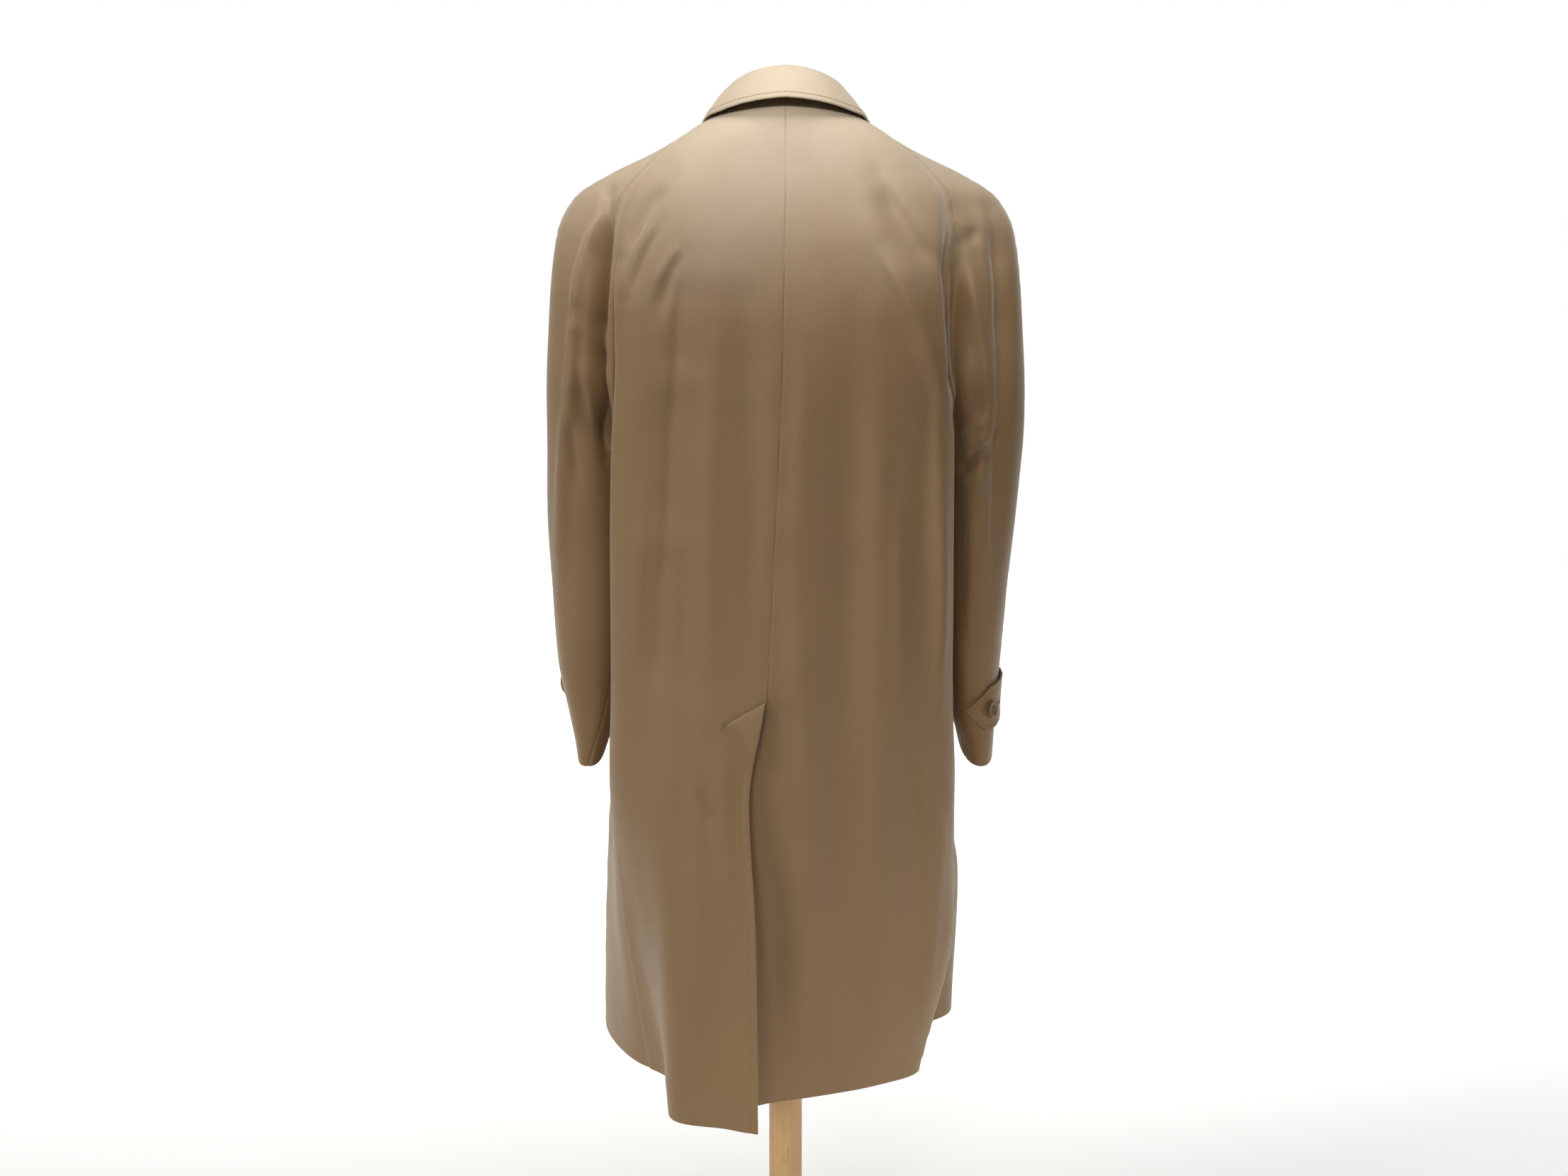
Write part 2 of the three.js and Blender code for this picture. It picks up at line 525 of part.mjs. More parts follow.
// Where panels meet, they share one normal, so that their walls meet edge to edge.
function sharedNormals(grids) {
  const key = (p) => [p.x, p.y, p.z].map((v) => Math.round(v * 20)).join();
  const meeting = new Map();
  const own = grids.map(gridNormals);
  own.forEach((normals, g) => normals.forEach((line, j) => line.forEach((n, i) => {
    if (!n) return;
    const k = key(grids[g][j][i]);
    meeting.set(k, [...(meeting.get(k) ?? []), n]);
  })));
  return own.map((normals, g) => normals.map((line, j) => line.map((n, i) => {
    if (!n) return null;
    const sum = new THREE.Vector3();
    for (const other of meeting.get(key(grids[g][j][i]))) if (other.dot(n) > 0.1) sum.add(other);
    return sum.normalize();
  })));
}

// ---- collar ----
// The neckline from the centre back to the centre front, on one side.
function necklineOf(side) {
  const points = [];
  for (let i = 0; i <= 16; i++) points.push(plainBodyPoint(side, i / 16, NECK_SIDE_Z));
  for (let i = 1; i <= 32; i++) points.push(plainSleevePoint(side, NECK_ROW, i / 16));
  for (let i = 1; i <= 16; i++) points.push(plainBodyPoint(side, 3 + i / 16, NECK_SIDE_Z));
  return points;
}

function alongPath(points, share) {
  const lengths = [0];
  for (let i = 1; i < points.length; i++) lengths.push(lengths[i - 1] + points[i].distanceTo(points[i - 1]));
  const goal = share * lengths[lengths.length - 1];
  let i = 0;
  while (i < points.length - 2 && lengths[i + 1] < goal) i++;
  return points[i].clone().lerp(points[i + 1], (goal - lengths[i]) / (lengths[i + 1] - lengths[i]));
}

// One section of the collar, from the neck side of its stand over the fold to the edge of the fall.
function collarSection(side, path, s) {
  const at = (name) => column(COLLAR, name, s, "s");
  const neck = alongPath(path, s);
  const along = alongPath(path, Math.min(1, s + 0.03)).sub(alongPath(path, Math.max(0, s - 0.03)));
  along.z = 0;
  along.normalize();
  if (s < 0.03) along.set(mirrorOf(side), 0, 0);
  if (s > 0.97) along.set(-mirrorOf(side), 0, 0);
  const out = new THREE.Vector3(-along.y, along.x, 0).multiplyScalar(mirrorOf(side));
  const place = (o, z, a = 0) => neck.clone().addScaledVector(out, o).addScaledVector(along, a)
    .add(new THREE.Vector3(0, 0, z));
  const [lean, top] = [at("lean"), at("stand")];
  const centre = top - FOLD_RADIUS;
  const slant = Math.atan2(at("drop"), at("out"));
  const line = [place(-2, 0.4), place(lerp(-2, lean - FOLD_RADIUS, 0.5), centre * 0.5)];
  for (const angle of [Math.PI, Math.PI * 0.75, Math.PI * 0.5, Math.PI * 0.5 - slant]) {
    line.push(place(lean + FOLD_RADIUS * Math.cos(angle), centre + FOLD_RADIUS * Math.sin(angle)));
  }
  const [startO, startZ] = [lean + FOLD_RADIUS * Math.sin(slant), centre + FOLD_RADIUS * Math.cos(slant)];
  const [endO, endZ] = [lean + at("out"), top - at("drop")];
  for (const share of [0.25, 0.5, 0.75, 1]) {
    const swell = at("bulge") * Math.sin(Math.PI * share);
    line.push(place(
      lerp(startO, endO, share) + swell * Math.sin(slant),
      lerp(startZ, endZ, share) + swell * Math.cos(slant),
      -at("back") * share,
    ));
  }
  return line;
}

function collarGrid() {
  const paths = { left: necklineOf("left"), right: necklineOf("right") };
  const grid = [];
  for (let k = -COLLAR_STEPS; k <= COLLAR_STEPS; k++) {
    const side = k < 0 ? "right" : "left";
    grid.push(collarSection(side, paths[side], Math.abs(k) / COLLAR_STEPS));
  }
  return facing(grid, true);
}

// ---- cuff tabs ----
// The point of a sleeve at a height, a distance in mm from the overarm seam towards the back.
function pointFromOverarm(side, z, distance) {
  const over = 1 + column(RINGS[side], "over", z);
  let w = over;
  let last = sleevePoint(side, { z, seam: 2 }, w);
  let walked = 0;
  while (walked < distance) {
    w -= 0.004;
    const next = sleevePoint(side, { z, seam: 2 }, w);
    walked += next.distanceTo(last);
    last = next;
  }
  return last;
}

// The tab's top edge at its sewn end, how far it stands off the sleeve at that end and further along, and how far
// its button stands off the tab.
const TAB_HANG = table(["side", "top", "root", "rise", "button"], [
  ["left", 879, 0.6, 5.4, 0.5],
  ["right", 882, 0.6, 3, 1.4],
]);
const tabHang = (side) => TAB_HANG.find((row) => row.side === side);

// Where the tab lies: s runs from its sewn end (0) to its point (1), r across it (-1 lower edge to 1 upper edge).
function tabPoint(side, s, r, lift) {
  const distance = 1 + s * (TAB_LENGTH - TAB_POINT * Math.abs(r));
  const z = tabHang(side).top - TAB_WIDTH / 2 + (r * TAB_WIDTH) / 2 - TAB_SLANT * distance * 0.5;
  const at = pointFromOverarm(side, z, distance);
  const back = pointFromOverarm(side, z, Math.max(0, distance - 1.5));
  const on = pointFromOverarm(side, z, distance + 1.5);
  const outward = on.sub(back).cross(new THREE.Vector3(0, 0, mirrorOf(side))).normalize();
  return at.addScaledVector(outward, lift);
}

function tabLift(side, s, r) {
  const { root, rise } = tabHang(side);
  return TAB_CLOTH + root + (rise - 0.8 * r) * smooth(s / 0.3);
}

function tabGrid(side) {
  const grid = [];
  for (let j = 0; j <= 4; j++) {
    const r = -1 + j / 2;
    const line = [];
    for (let i = 0; i <= 10; i++) line.push(tabPoint(side, i / 10, r, tabLift(side, i / 10, r)));
    grid.push(line);
  }
  return facing(grid, side === "right");
}

// ---- buttons ----
function buttonShape() {
  const circle = (x, y, radius, count) => Array.from({ length: count }, (_, i) => {
    const angle = (2 * Math.PI * i) / count;
    return new THREE.Vector2(x + radius * Math.cos(angle), y + radius * Math.sin(angle));
  });
  const shape = new THREE.Shape(circle(0, 0, BUTTON_RADIUS, 24));
  for (const [x, y] of [[2, 2], [-2, 2], [-2, -2], [2, -2]]) shape.holes.push(new THREE.Path(circle(x, y, 1, 6)));
  return shape;
}

// A four-hole button with its underside at the point and its axis along the direction.
function button(point, direction) {
  const geometry = new THREE.ExtrudeGeometry(buttonShape(), { depth: BUTTON_THICK, bevelEnabled: false });
  const turn = new THREE.Quaternion().setFromUnitVectors(new THREE.Vector3(0, 0, 1), direction);
  geometry.applyQuaternion(turn);
  geometry.translate(point.x, point.y, point.z);
  return geometry;
}

// A button's place on a grid: between rows j and j + 1 of a column, lifted off the cloth.
function placeOn(grid, j, i, share, lift) {
  const point = grid[j][i].clone().lerp(grid[j + 1][i], share);
  const up = grid[j + 1][i].clone().sub(grid[j][i]);
  const along = grid[j][i + 1].clone().sub(grid[j][i - 1]);
  const direction = along.cross(up).normalize();
  return { point: point.addScaledVector(direction, lift), direction };
}

const FRONT_BUTTON_ZS = [1388, 1268, 1148, 1028, 908]; // section heights of the front buttons

function frontButton(grid, z) {
  const j = BODY_ROWS.findIndex((row) => row.z > z) - 1;
  const share = (z - BODY_ROWS[j].z) / (BODY_ROWS[j + 1].z - BODY_ROWS[j].z);
  const place = placeOn(grid, j, FRONT_COLUMNS.lap, share, 0.5);
  return button(place.point, place.direction);
}

function cuffButton(side, grid) {
  const place = placeOn(grid, 1, side === "left" ? 7 : 3, 1, tabHang(side).button);
  return button(place.point, place.direction);
}

// ---- dress form, pole and base ----
function keyRing(row) {
  const half = (side) => {
    const m = mirrorOf(side);
    const wingZ = lerp(row.sideZ, row.z + row.rise, 0.55);
    const foreZ = lerp(row.sideZ, row.z - row.dip, 0.5);
    return [
      new THREE.Vector3(m * row.wingX, row.wingY, wingZ),
      new THREE.Vector3(m * row.sideX, row.sideY, row.sideZ),
      new THREE.Vector3(m * row.foreX, row.foreY, foreZ),
    ];
  };
  const back = new THREE.Vector3(0, row.back, row.z + row.rise);
  const front = new THREE.Vector3(0, row.front, row.z - row.dip);
  const curve = new THREE.CatmullRomCurve3(
    [back, ...half("right"), front, ...half("left").reverse()], true, "centripetal");
  return curve.getPoints(8 * FORM_STEPS).slice(0, -1);
}

// Half of a shoulder ring, centre back to centre front: the coat's own row moved in.
function shoulderRing(side, { seamZ, ridge, elsewhere }) {
  const sense = -mirrorOf(side);
  const body = (u, z) => plainBodyPoint(side, u, z);
  const sleeve = (w, z) => plainSleevePoint(side, { z, seam: 1 }, w);
  const inset = (surface, at, share) => surface(at, seamZ)
    .addScaledVector(normalOf(surface, Math.min(3.98, Math.max(0.02, at)), seamZ, sense), -ridge - elsewhere * share);
  const points = [];
  for (let i = 0; i < FORM_STEPS; i++) points.push(inset(body, i / FORM_STEPS, 1));
  for (let i = 0; i <= 2 * FORM_STEPS; i++) {
    const w = i / FORM_STEPS;
    points.push(inset(sleeve, Math.min(1.97, Math.max(0.03, w)), smooth(Math.abs(w - 1) * 1.2)));
  }
  for (let i = 1; i <= FORM_STEPS; i++) points.push(inset(body, 3 + i / FORM_STEPS, 1));
  points[0].setX(0);
  points[points.length - 1].setX(0);
  return points;
}

function formRings() {
  const shoulders = FORM_SHOULDER.map((row) => {
    const right = shoulderRing("right", row);
    const left = shoulderRing("left", row);
    return [...right, ...left.slice(1, -1).reverse()];
  });
  return [...FORM_TRUNK.map(keyRing), ...shoulders, ...FORM_NECK.map(keyRing)];
}

// A closed solid through rings that run from the bottom up, counter-clockwise seen from above.
function loft(rings) {
  const n = rings[0].length;
  const points = rings.flat();
  const index = [];
  for (let k = 0; k < rings.length - 1; k++) {
    for (let i = 0; i < n; i++) {
      const [a, b] = [k * n + i, k * n + ((i + 1) % n)];
      index.push(a, b, b + n, a, b + n, a + n);
    }
  }
  const middle = (ring) => ring.reduce((sum, p) => sum.add(p), new THREE.Vector3()).divideScalar(n);
  const [low, high] = [points.length, points.length + 1];
  points.push(middle(rings[0]), middle(rings[rings.length - 1]));
  for (let i = 0; i < n; i++) {
    index.push(low, (i + 1) % n, i);
    index.push(high, low - n + i, low - n + ((i + 1) % n));
  }
  return solidFrom(points, index);
}

function turned(profile, segments) {
  const rings = profile.map(([radius, z]) => Array.from({ length: segments }, (_, i) => {
    const angle = (2 * Math.PI * i) / segments;
    return new THREE.Vector3(radius * Math.cos(angle), radius * Math.sin(angle), z);
  }));
  return loft(rings);
}

// ---- the part ----
const material = (name, color, roughness) =>
  Object.assign(new THREE.MeshStandardMaterial({ color, roughness, metalness: 0 }), { name });
const COAT = material("coat_cotton", 0x8f7652, 0.85);
const HORN = material("button_horn", 0x8a6a42, 0.45);
const LINEN = material("form_linen", 0xd8cfbc, 0.9);
const BEECH = material("beech_wood", 0xc49a63, 0.55);

function build() {
  const group = new THREE.Group();
  const add = (name, geometry, mat) => {
    const mesh = new THREE.Mesh(geometry, mat);
    mesh.name = name;
    group.add(mesh);
  };
  const panels = {
    back_left: backGrid("left"),
    back_right: backGrid("right"),
    front_left: frontGrid("left"),
    front_right: frontGrid("right"),
    sleeve_back_left: sleeveGrid("left", "back"),
    sleeve_front_left: sleeveGrid("left", "front"),
    sleeve_back_right: sleeveGrid("right", "back"),
    sleeve_front_right: sleeveGrid("right", "front"),
  };
  const normals = sharedNormals(Object.values(panels));
  const mirrored = ["back_left", "front_right", "sleeve_back_left", "sleeve_front_right"];
  Object.entries(panels).forEach(([name, grid], k) =>
    add(name, wall(grid, normals[k], CLOTH, mirrored.includes(name)), COAT));
  const collar = collarGrid();
  add("collar", wall(collar, gridNormals(collar), COLLAR_CLOTH), COAT);
  for (const side of ["left", "right"]) {
    const tab = tabGrid(side);
    add(`cuff_tab_${side}`, wall(tab, gridNormals(tab), TAB_CLOTH), COAT);
    add(`cuff_button_${side}`, cuffButton(side, tab), HORN);
  }
  FRONT_BUTTON_ZS.forEach((z, k) => add(`front_button_${k + 1}`, frontButton(panels.front_left, z), HORN));
  add("form_torso", loft(formRings()), LINEN);
  add("pole", turned([[POLE_RADIUS, BASE_THICK + 0.05], [POLE_RADIUS, FORM_BOTTOM_Z - 0.05]], 32), BEECH);
  add("base", turned([
    [BASE_RADIUS - 3, 0], [BASE_RADIUS, 3], [BASE_RADIUS, BASE_THICK - 7],
    [BASE_RADIUS - 2, BASE_THICK - 2.5], [BASE_RADIUS - 7, BASE_THICK],
  ], 48), BEECH);
  return group;
}

export default build();
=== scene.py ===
"""A raglan raincoat on a limbless dress form with a beech stand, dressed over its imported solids.

Surfaces are worked out in millimetres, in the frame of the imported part, and become metres in their meshes.
"""
import math

import bmesh
import bpy
import numpy as np
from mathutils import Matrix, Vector


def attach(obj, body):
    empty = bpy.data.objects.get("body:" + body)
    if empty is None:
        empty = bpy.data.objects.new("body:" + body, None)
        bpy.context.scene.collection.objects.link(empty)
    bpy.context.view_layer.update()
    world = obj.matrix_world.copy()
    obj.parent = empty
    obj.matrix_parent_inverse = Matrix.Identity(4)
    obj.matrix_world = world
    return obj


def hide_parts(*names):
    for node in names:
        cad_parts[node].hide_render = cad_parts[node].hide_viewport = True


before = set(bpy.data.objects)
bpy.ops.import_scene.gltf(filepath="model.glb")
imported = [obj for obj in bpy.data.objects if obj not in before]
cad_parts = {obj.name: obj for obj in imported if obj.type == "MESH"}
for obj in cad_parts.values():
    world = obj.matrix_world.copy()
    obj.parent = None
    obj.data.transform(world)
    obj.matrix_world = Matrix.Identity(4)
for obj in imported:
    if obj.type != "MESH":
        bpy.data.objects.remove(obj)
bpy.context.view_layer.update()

MM = 0.001
scene = bpy.context.scene

# ---------------------------------------------------------------- sizes of the coat
HEM_Z = 423.0
UNDERARM_Z = 1135.0
ARMHOLE_RISE = 92.0
NECK_SIDE_Z = 1485.0
VENT_TOP_Z = 884.0
UNDERLAP_TOP_Z = 862.0
CLOTH = 1.7
COLLAR_CLOTH = 2.1
TAB_CLOTH = 1.9
LAP_GAP = 4.0
FRONT_LAP = 30.0
LAP_DROP = 1.4
VENT_UNDERLAP = 42.0
FOLD_RADIUS = 3.6
TAB_LENGTH = 78.0
TAB_WIDTH = 45.0
TAB_POINT = 22.0
TAB_SLANT = 0.2
POLE_RADIUS = 20.0
BASE_RADIUS = 190.0
BASE_THICK = 24.0
FORM_BOTTOM_Z = 800.0
RAGLAN_STITCH = 8.5    # topstitch line from the raglan seam
COLLAR_STITCH = 5.5    # topstitch line from the collar's edge
TAB_STITCH = 5.0
HOLE_LENGTH = 22.0     # a buttonhole, its width between the worked edges and the spacing of their stitches
HOLE_WIDTH = 2.2
HOLE_PITCH = 1.2
EDGE_STITCH = 6.0      # topstitch line from the front edge
SLEEVE_HEM_Z = 792.0
RIM_ROUND = 0.32       # how far a shell's rim bulges, as a share of the cloth's thickness
FLAP_COLUMNS = 10      # grid columns of the vent's underlap
TAB_MIDDLE = 10        # grid row along the middle of a cuff tab
TAB_STITCHED = (4, 16, 0, 41)    # rows and columns of a cuff tab's grid that its stitches follow
COLLAR_STITCH_START = 26    # column of the collar's grid where its stitches begin, past the fold
COLLAR_STITCH_EDGE = 4      # columns between its stitches and its edge
STAND_STEPS = 7        # rows of the collar's grid up its stand and round its fold
FOLD_STEPS = 11
THREAD_LIFT = 0.1      # how far topstitching lies over the cloth
BAND_HEIGHT = 0.35     # how far the cloth rises over a stitched seam allowance
OFF_SEAM = 0.1         # the seam's own edge, where waves would open it, is nearer than this
BAR = ((17.8, 881.6), (60.6, 857.7))    # x and z of the ends of the bar of stitches across the vent's top


def table(names, rows):
    """Named columns of a short table, as arrays."""
    values = np.array(rows, float)
    return {name: values[:, i] for i, name in enumerate(names)}


SECTION = ["z", "backX", "back", "slope", "wingX", "wingY", "tuckX", "tuckY", "sideX", "sideY",
           "foreX", "foreY", "front", "rise", "dip"]
SHOULDER_ROWS = [
    [1225, 3, 147, 0, 180, 98, 172, 58, 166, 12, 166, -86, -150, 0, 3],
    [1280, 2, 143, 0, 180, 98, 180, 55, 176, 12, 168, -82, -146, 0, 6],
    [1345, 1, 134, 0, 178, 90, 184, 50, 182, 10, 162, -80, -136, 3, 12],
    [1392, 0, 122, 0, 170, 79, 180, 44, 180, 6, 152, -77, -123, 7, 22],
    [1430, 0, 110, 0, 140, 72, 155, 40, 160, 4, 126, -74, -110, 11, 34],
    [1455, 0, 101, 0, 110, 67, 126, 38, 132, 2, 98, -72, -102, 14, 44],
    [1474, 0, 89, 0, 80, 58, 94, 32, 98, 0, 72, -68, -94, 17, 54],
    [NECK_SIDE_Z, 0, 68, 0, 57, 47, 72, 26, 77, 0, 55, -60, -86, 18, 62],
]
SECTIONS = {
    "left": table(SECTION, [
        [HEM_Z, 30, 214, -0.12, 160, 76, 190, 40, 219, -38, 174, -148, -205, -8, 0],
        [620, 32, 194, -0.1, 184, 106, 198, 54, 211, -12, 172, -138, -196, 0, 0],
        [770, 39, 178, -0.04, 195, 99, 188, 62, 201, -4, 170, -118, -186, 0, 0],
        [862, 24, 170, 0, 190, 98, 172, 62, 163, 4, 164, -110, -179, 0, 0],
        [900, 18, 166, 0, 189, 97, 171, 62, 160, 5, 163, -108, -176, 0, 0],
        [1030, 12, 158, 0, 187, 97, 166, 62, 153, 8, 159, -104, -166, 0, 0],
        [UNDERARM_Z, 7, 152, 0, 184, 98, 154, 56, 151, 9, 158, -98, -158, 0, 0],
        *SHOULDER_ROWS,
    ]),
    "right": table(SECTION, [
        [HEM_Z, -30, 172, -0.5, 148, 80, 164, 36, 179, -44, 212, -117, -205, 0, 0],
        [620, -32, 171, -0.2, 184, 92, 188, 45, 201, -18, 186, -126, -196, 0, 0],
        [770, -39, 170, -0.06, 184, 92, 176, 58, 172, 0, 168, -116, -186, 0, 0],
        [862, -24, 167, 0, 181, 93, 170, 60, 162, 4, 164, -110, -179, 0, 0],
        [900, -18, 166, 0, 180, 93, 168, 60, 158, 5, 163, -108, -176, 0, 0],
        [1030, -12, 158, 0, 178, 95, 163, 61, 152, 8, 159, -104, -166, 0, 0],
        [UNDERARM_Z, -7, 152, 0, 177, 97, 154, 56, 151, 9, 158, -98, -158, 0, 0],
        *[[row[0], -row[1], *row[2:]] for row in SHOULDER_ROWS],
    ]),
}
FOLD = ["footU", "headU", "width", "depth", "head"]
FOLDS = {
    "left": table(FOLD, [
        [0.47, 0.34, 28, 30, 1000],
        [0.84, 0.9, 22, -8, 850],
        [2.6, 2.5, 46, 14, 900],
        [3.3, 3.3, 46, -12, 860],
    ]),
    "right": table(FOLD, [
        [0.98, 1.0, 26, 8, 1000],
        [1.5, 1.45, 40, -8, 800],
        [2.35, 2.3, 40, 14, 820],
        [3.3, 3.3, 46, -12, 860],
    ]),
}
RIDGE = table(["z", "x", "y", "height", "leave", "start", "end"], [
    [UNDERARM_Z, 265, 9, UNDERARM_Z, 90, 101, 101],
    [1147, 265, 9, 1155, 46, 64, 96],
    [1168, 265, 8, 1183, 30, 50, 90],
    [1196, 264, 7, 1217, 10, 42, 84],
    [1227, 262, 5, 1252, -6, 38, 78],
    [1280, 258, 3, 1312, -20, 36, 70],
    [1345, 250, 1, 1368, -36, 32, 58],
    [1392, 232, 0, 1403.5, -46, 30, 46],
    [1433, 189, 0, 1431, -54, 28, 36],
    [1455, 149, 0, 1447.5, -57, 26, 30],
    [1474, 106, 0, 1466, -62, 20, 22],
    [NECK_SIDE_Z, 77, 0, 1479, -66, 12, 14],
])
RING = ["z", "outerX", "innerX", "middleY", "reach", "tilt", "under", "over"]
CUFF_SQUARE = {"left": 0.68, "right": 0.86}
RINGS = {
    "left": table(RING, [
        [792, 239, 207, -6, 68, 0.2, 0.5, 0.5],
        [812, 242, 200, -5, 70, 0.16, 0.46, 0.48],
        [840, 248, 191, -4, 72, 0.12, 0.38, 0.45],
        [900, 260, 180, -2, 73, 0.05, 0.28, 0.25],
        [980, 265, 171, 1, 72, 0, 0.2, 0.08],
        [1060, 268, 163, 5, 74, 0, 0.12, 0],
        [UNDERARM_Z, 266, 151, 9, 76, 0, 0, 0],
    ]),
    "right": table(RING, [
        [792, 239, 201, -6, 68, 0.2, 0.22, -0.06],
        [812, 240, 196, -5, 70, 0.16, 0.22, -0.06],
        [840, 241, 186, -4, 72, 0.12, 0.22, -0.06],
        [900, 246, 176, -2, 73, 0.05, 0.22, -0.04],
        [980, 252, 168, 1, 72, 0, 0.2, 0],
        [1060, 259, 161, 5, 74, 0, 0.14, 0],
        [UNDERARM_Z, 264, 151, 9, 76, 0, 0, 0],
    ]),
}
SLEEVE_FOLD = ["turn", "lean", "z", "width", "tall", "depth"]
SLEEVE_FOLDS = {
    "left": table(SLEEVE_FOLD, [[0.3, 0.0006, 1150, 20, 90, -7], [0.62, 0, 1010, 30, 60, -4]]),
    "right": table(SLEEVE_FOLD, [[0.28, 0.0004, 1170, 20, 90, -7], [0.45, 0.004, 1075, 18, 26, -5]]),
}
COLLAR = table(["z", "stand", "lean", "out", "drop", "back", "bulge"], [
    [0, 32, 2, 35, 35.5, 0, 2],
    [0.12, 30.5, 0.5, 35, 36, 0, 2],
    [0.25, 27, -3, 33, 35, 0, 2],
    [0.36, 24.5, -6, 29, 30, 0, 2],
    [0.46, 22, -8, 23, 23, -4, 2],
    [0.6, 19, -3, 20, 21, -2, 3],
    [0.74, 16, -2, 27, 23, 3, 5],
    [0.88, 11, 0, 44, 36, 18, 7],
    [1, 6, 1, 58, 52, 42, 8],
])
TAB_HANG = {"left": {"top": 879, "root": 0.6, "rise": 5.4}, "right": {"top": 882, "root": 0.6, "rise": 3.0}}

# Soft creases laid over those forms, from (x0, z0) to (x1, z1), with x towards the wearer's left.
# bend bows the line sideways. near and far are its widths on the side of smaller and of larger x, and a depth
# under 0 is a trough.
CREASE = ["x0", "z0", "x1", "z1", "bend", "near", "far", "depth"]
BACK_CREASES = table(CREASE, [
    # drag lines above the left armhole
    [120, 1418, 168, 1340, 4, 8, 12, -9.0],
    [134, 1380, 174, 1288, 2, 8, 8, 4.0],
    [128, 1372, 162, 1296, 3, 6, 9, -4.4],
    [105, 1352, 136, 1305, 2, 6, 6, 2.6],
    [108, 1346, 132, 1276, 2, 7, 9, -3.6],
    # the long soft edge down the left of the back
    [105, 1330, 114, 1204, 2, 36, 24, -4.0],
    [105, 1330, 114, 1204, 2, 9, 7, -2.2],
    [114, 1234, 126, 1030, 2, 36, 26, -5.0],
    [114, 1234, 126, 1030, 2, 9, 7, -2.6],
    [126, 1064, 139, 870, 2, 34, 22, -4.4],
    [126, 1064, 139, 870, 2, 9, 7, -2.2],
    [152, 1080, 160, 880, 2, 8, 10, 2.4],
    # the hollow above the right armhole, the ridge below it and the turn of the cloth beside the arm
    [-96, 1420, -164, 1326, 7, 9, 16, -8.0],
    [-92, 1352, -160, 1200, -5, 24, 9, 10.5],
    [-172, 1380, -178, 1180, 0, 14, 8, -15.0],
    [-157, 1216, -164, 880, 0, 14, 7, 6.4],
    # hanging folds between the arms and over the skirt
    [50, 1330, 46, 1190, 0, 22, 22, -2.4],
    [38, 1290, 34, 950, 0, 17, 17, -3.0],
    [-14, 1262, -12, 1000, 0, 19, 19, 2.8],
    [-70, 1280, -74, 900, 4, 20, 22, -3.6],
    [-96, 1200, -104, 900, 2, 13, 13, 2.6],
    [76, 1246, 84, 880, 2, 15, 15, 3.4],
    [106, 1060, 104, 600, 2, 11, 11, -3.6],
    [69, 850, 56, 640, 2, 12, 12, 5.0],
    [94, 790, 76, 746, 0, 6, 6, -3.4],
    [88, 640, 92, 470, 0, 14, 14, 3.0],
    [-7, 1000, -24, 717, -3, 18, 18, 5.4],
    [-24, 740, -6, 500, 0, 18, 18, 5.0],
    [-62, 1080, -68, 520, 0, 22, 24, -5.6],
    [-98, 900, -106, 480, 0, 13, 13, 4.2],
    [-117, 1080, -120, 860, 0, 7, 8, 3.0],
    [-140, 1120, -146, 620, 0, 12, 12, -4.4],
    [-161, 1100, -163, 860, 0, 7, 7, 4.0],
    [-150, 800, -168, 720, 3, 7, 9, 3.6],
    [-168, 735, -155, 520, 0, 8, 10, 4.0],
])
FRONT_CREASES = table(CREASE, [
    [96, 1390, 120, 1290, -6, 12, 14, -4.6],
    [-96, 1390, -120, 1290, 6, 14, 12, -4.6],
    [118, 1366, 144, 1262, -5, 10, 12, -3.6],
    [-120, 1360, -146, 1256, 5, 12, 10, -3.6],
    [70, 1200, 84, 560, 3, 24, 28, -6.0],
    [-78, 1170, -88, 520, -3, 26, 24, -6.0],
    [126, 1210, 136, 640, 3, 18, 20, 5.4],
    [-128, 1180, -138, 600, -3, 18, 20, 5.4],
    [44, 1090, 52, 480, 0, 20, 20, 4.2],
    [-44, 1040, -42, 500, 0, 20, 20, 3.8],
    [104, 820, 108, 470, 0, 14, 14, -3.6],
    [-108, 860, -112, 480, 0, 14, 14, -3.6],
])
SLEEVE_BACK_CREASES = table(CREASE, [
    # left: the long ridge down from the shoulder, the recess beside the body and the elbow's small creases
    [186, 1396, 222, 1270, 10, 8, 7, 8.0],
    [222, 1290, 231, 1180, 0, 8, 7, 8.0],
    [230, 1200, 244, 1070, 2, 8, 7, 6.4],
    [243, 1100, 250, 1000, 0, 8, 9, 3.6],
    [188, 1404, 200, 1240, 0, 7, 7, -26.0],
    [200, 1266, 190, 1130, 2, 8, 7, -24.0],
    [219, 1240, 198, 1150, 0, 6, 6, 3.0],
    [231, 1172, 224, 1100, 0, 4, 6, -3.0],
    # right: a dent under the shoulder, the ridge, the trough outside it and the deep elbow crease
    [-197, 1372, -200, 1352, 0, 8, 8, -5.0],
    [-183, 1342, -216, 1152, -8, 9, 7, 6.4],
    [-216, 1160, -203, 1080, 0, 9, 7, 5.4],
    [-184, 1350, -184, 1120, 0, 8, 12, -20.0],
    [-184, 1120, -190, 940, 0, 9, 16, -12.0],
    [-221, 1385, -231, 1230, -4, 13, 9, -10.0],
    [-231, 1270, -231, 990, 0, 14, 10, -10.0],
    [-216, 1174, -182, 1143, 0, 10, 10, 5.0],
    [-222, 1146, -180, 1108, 0, 14, 5, -11.0],
])
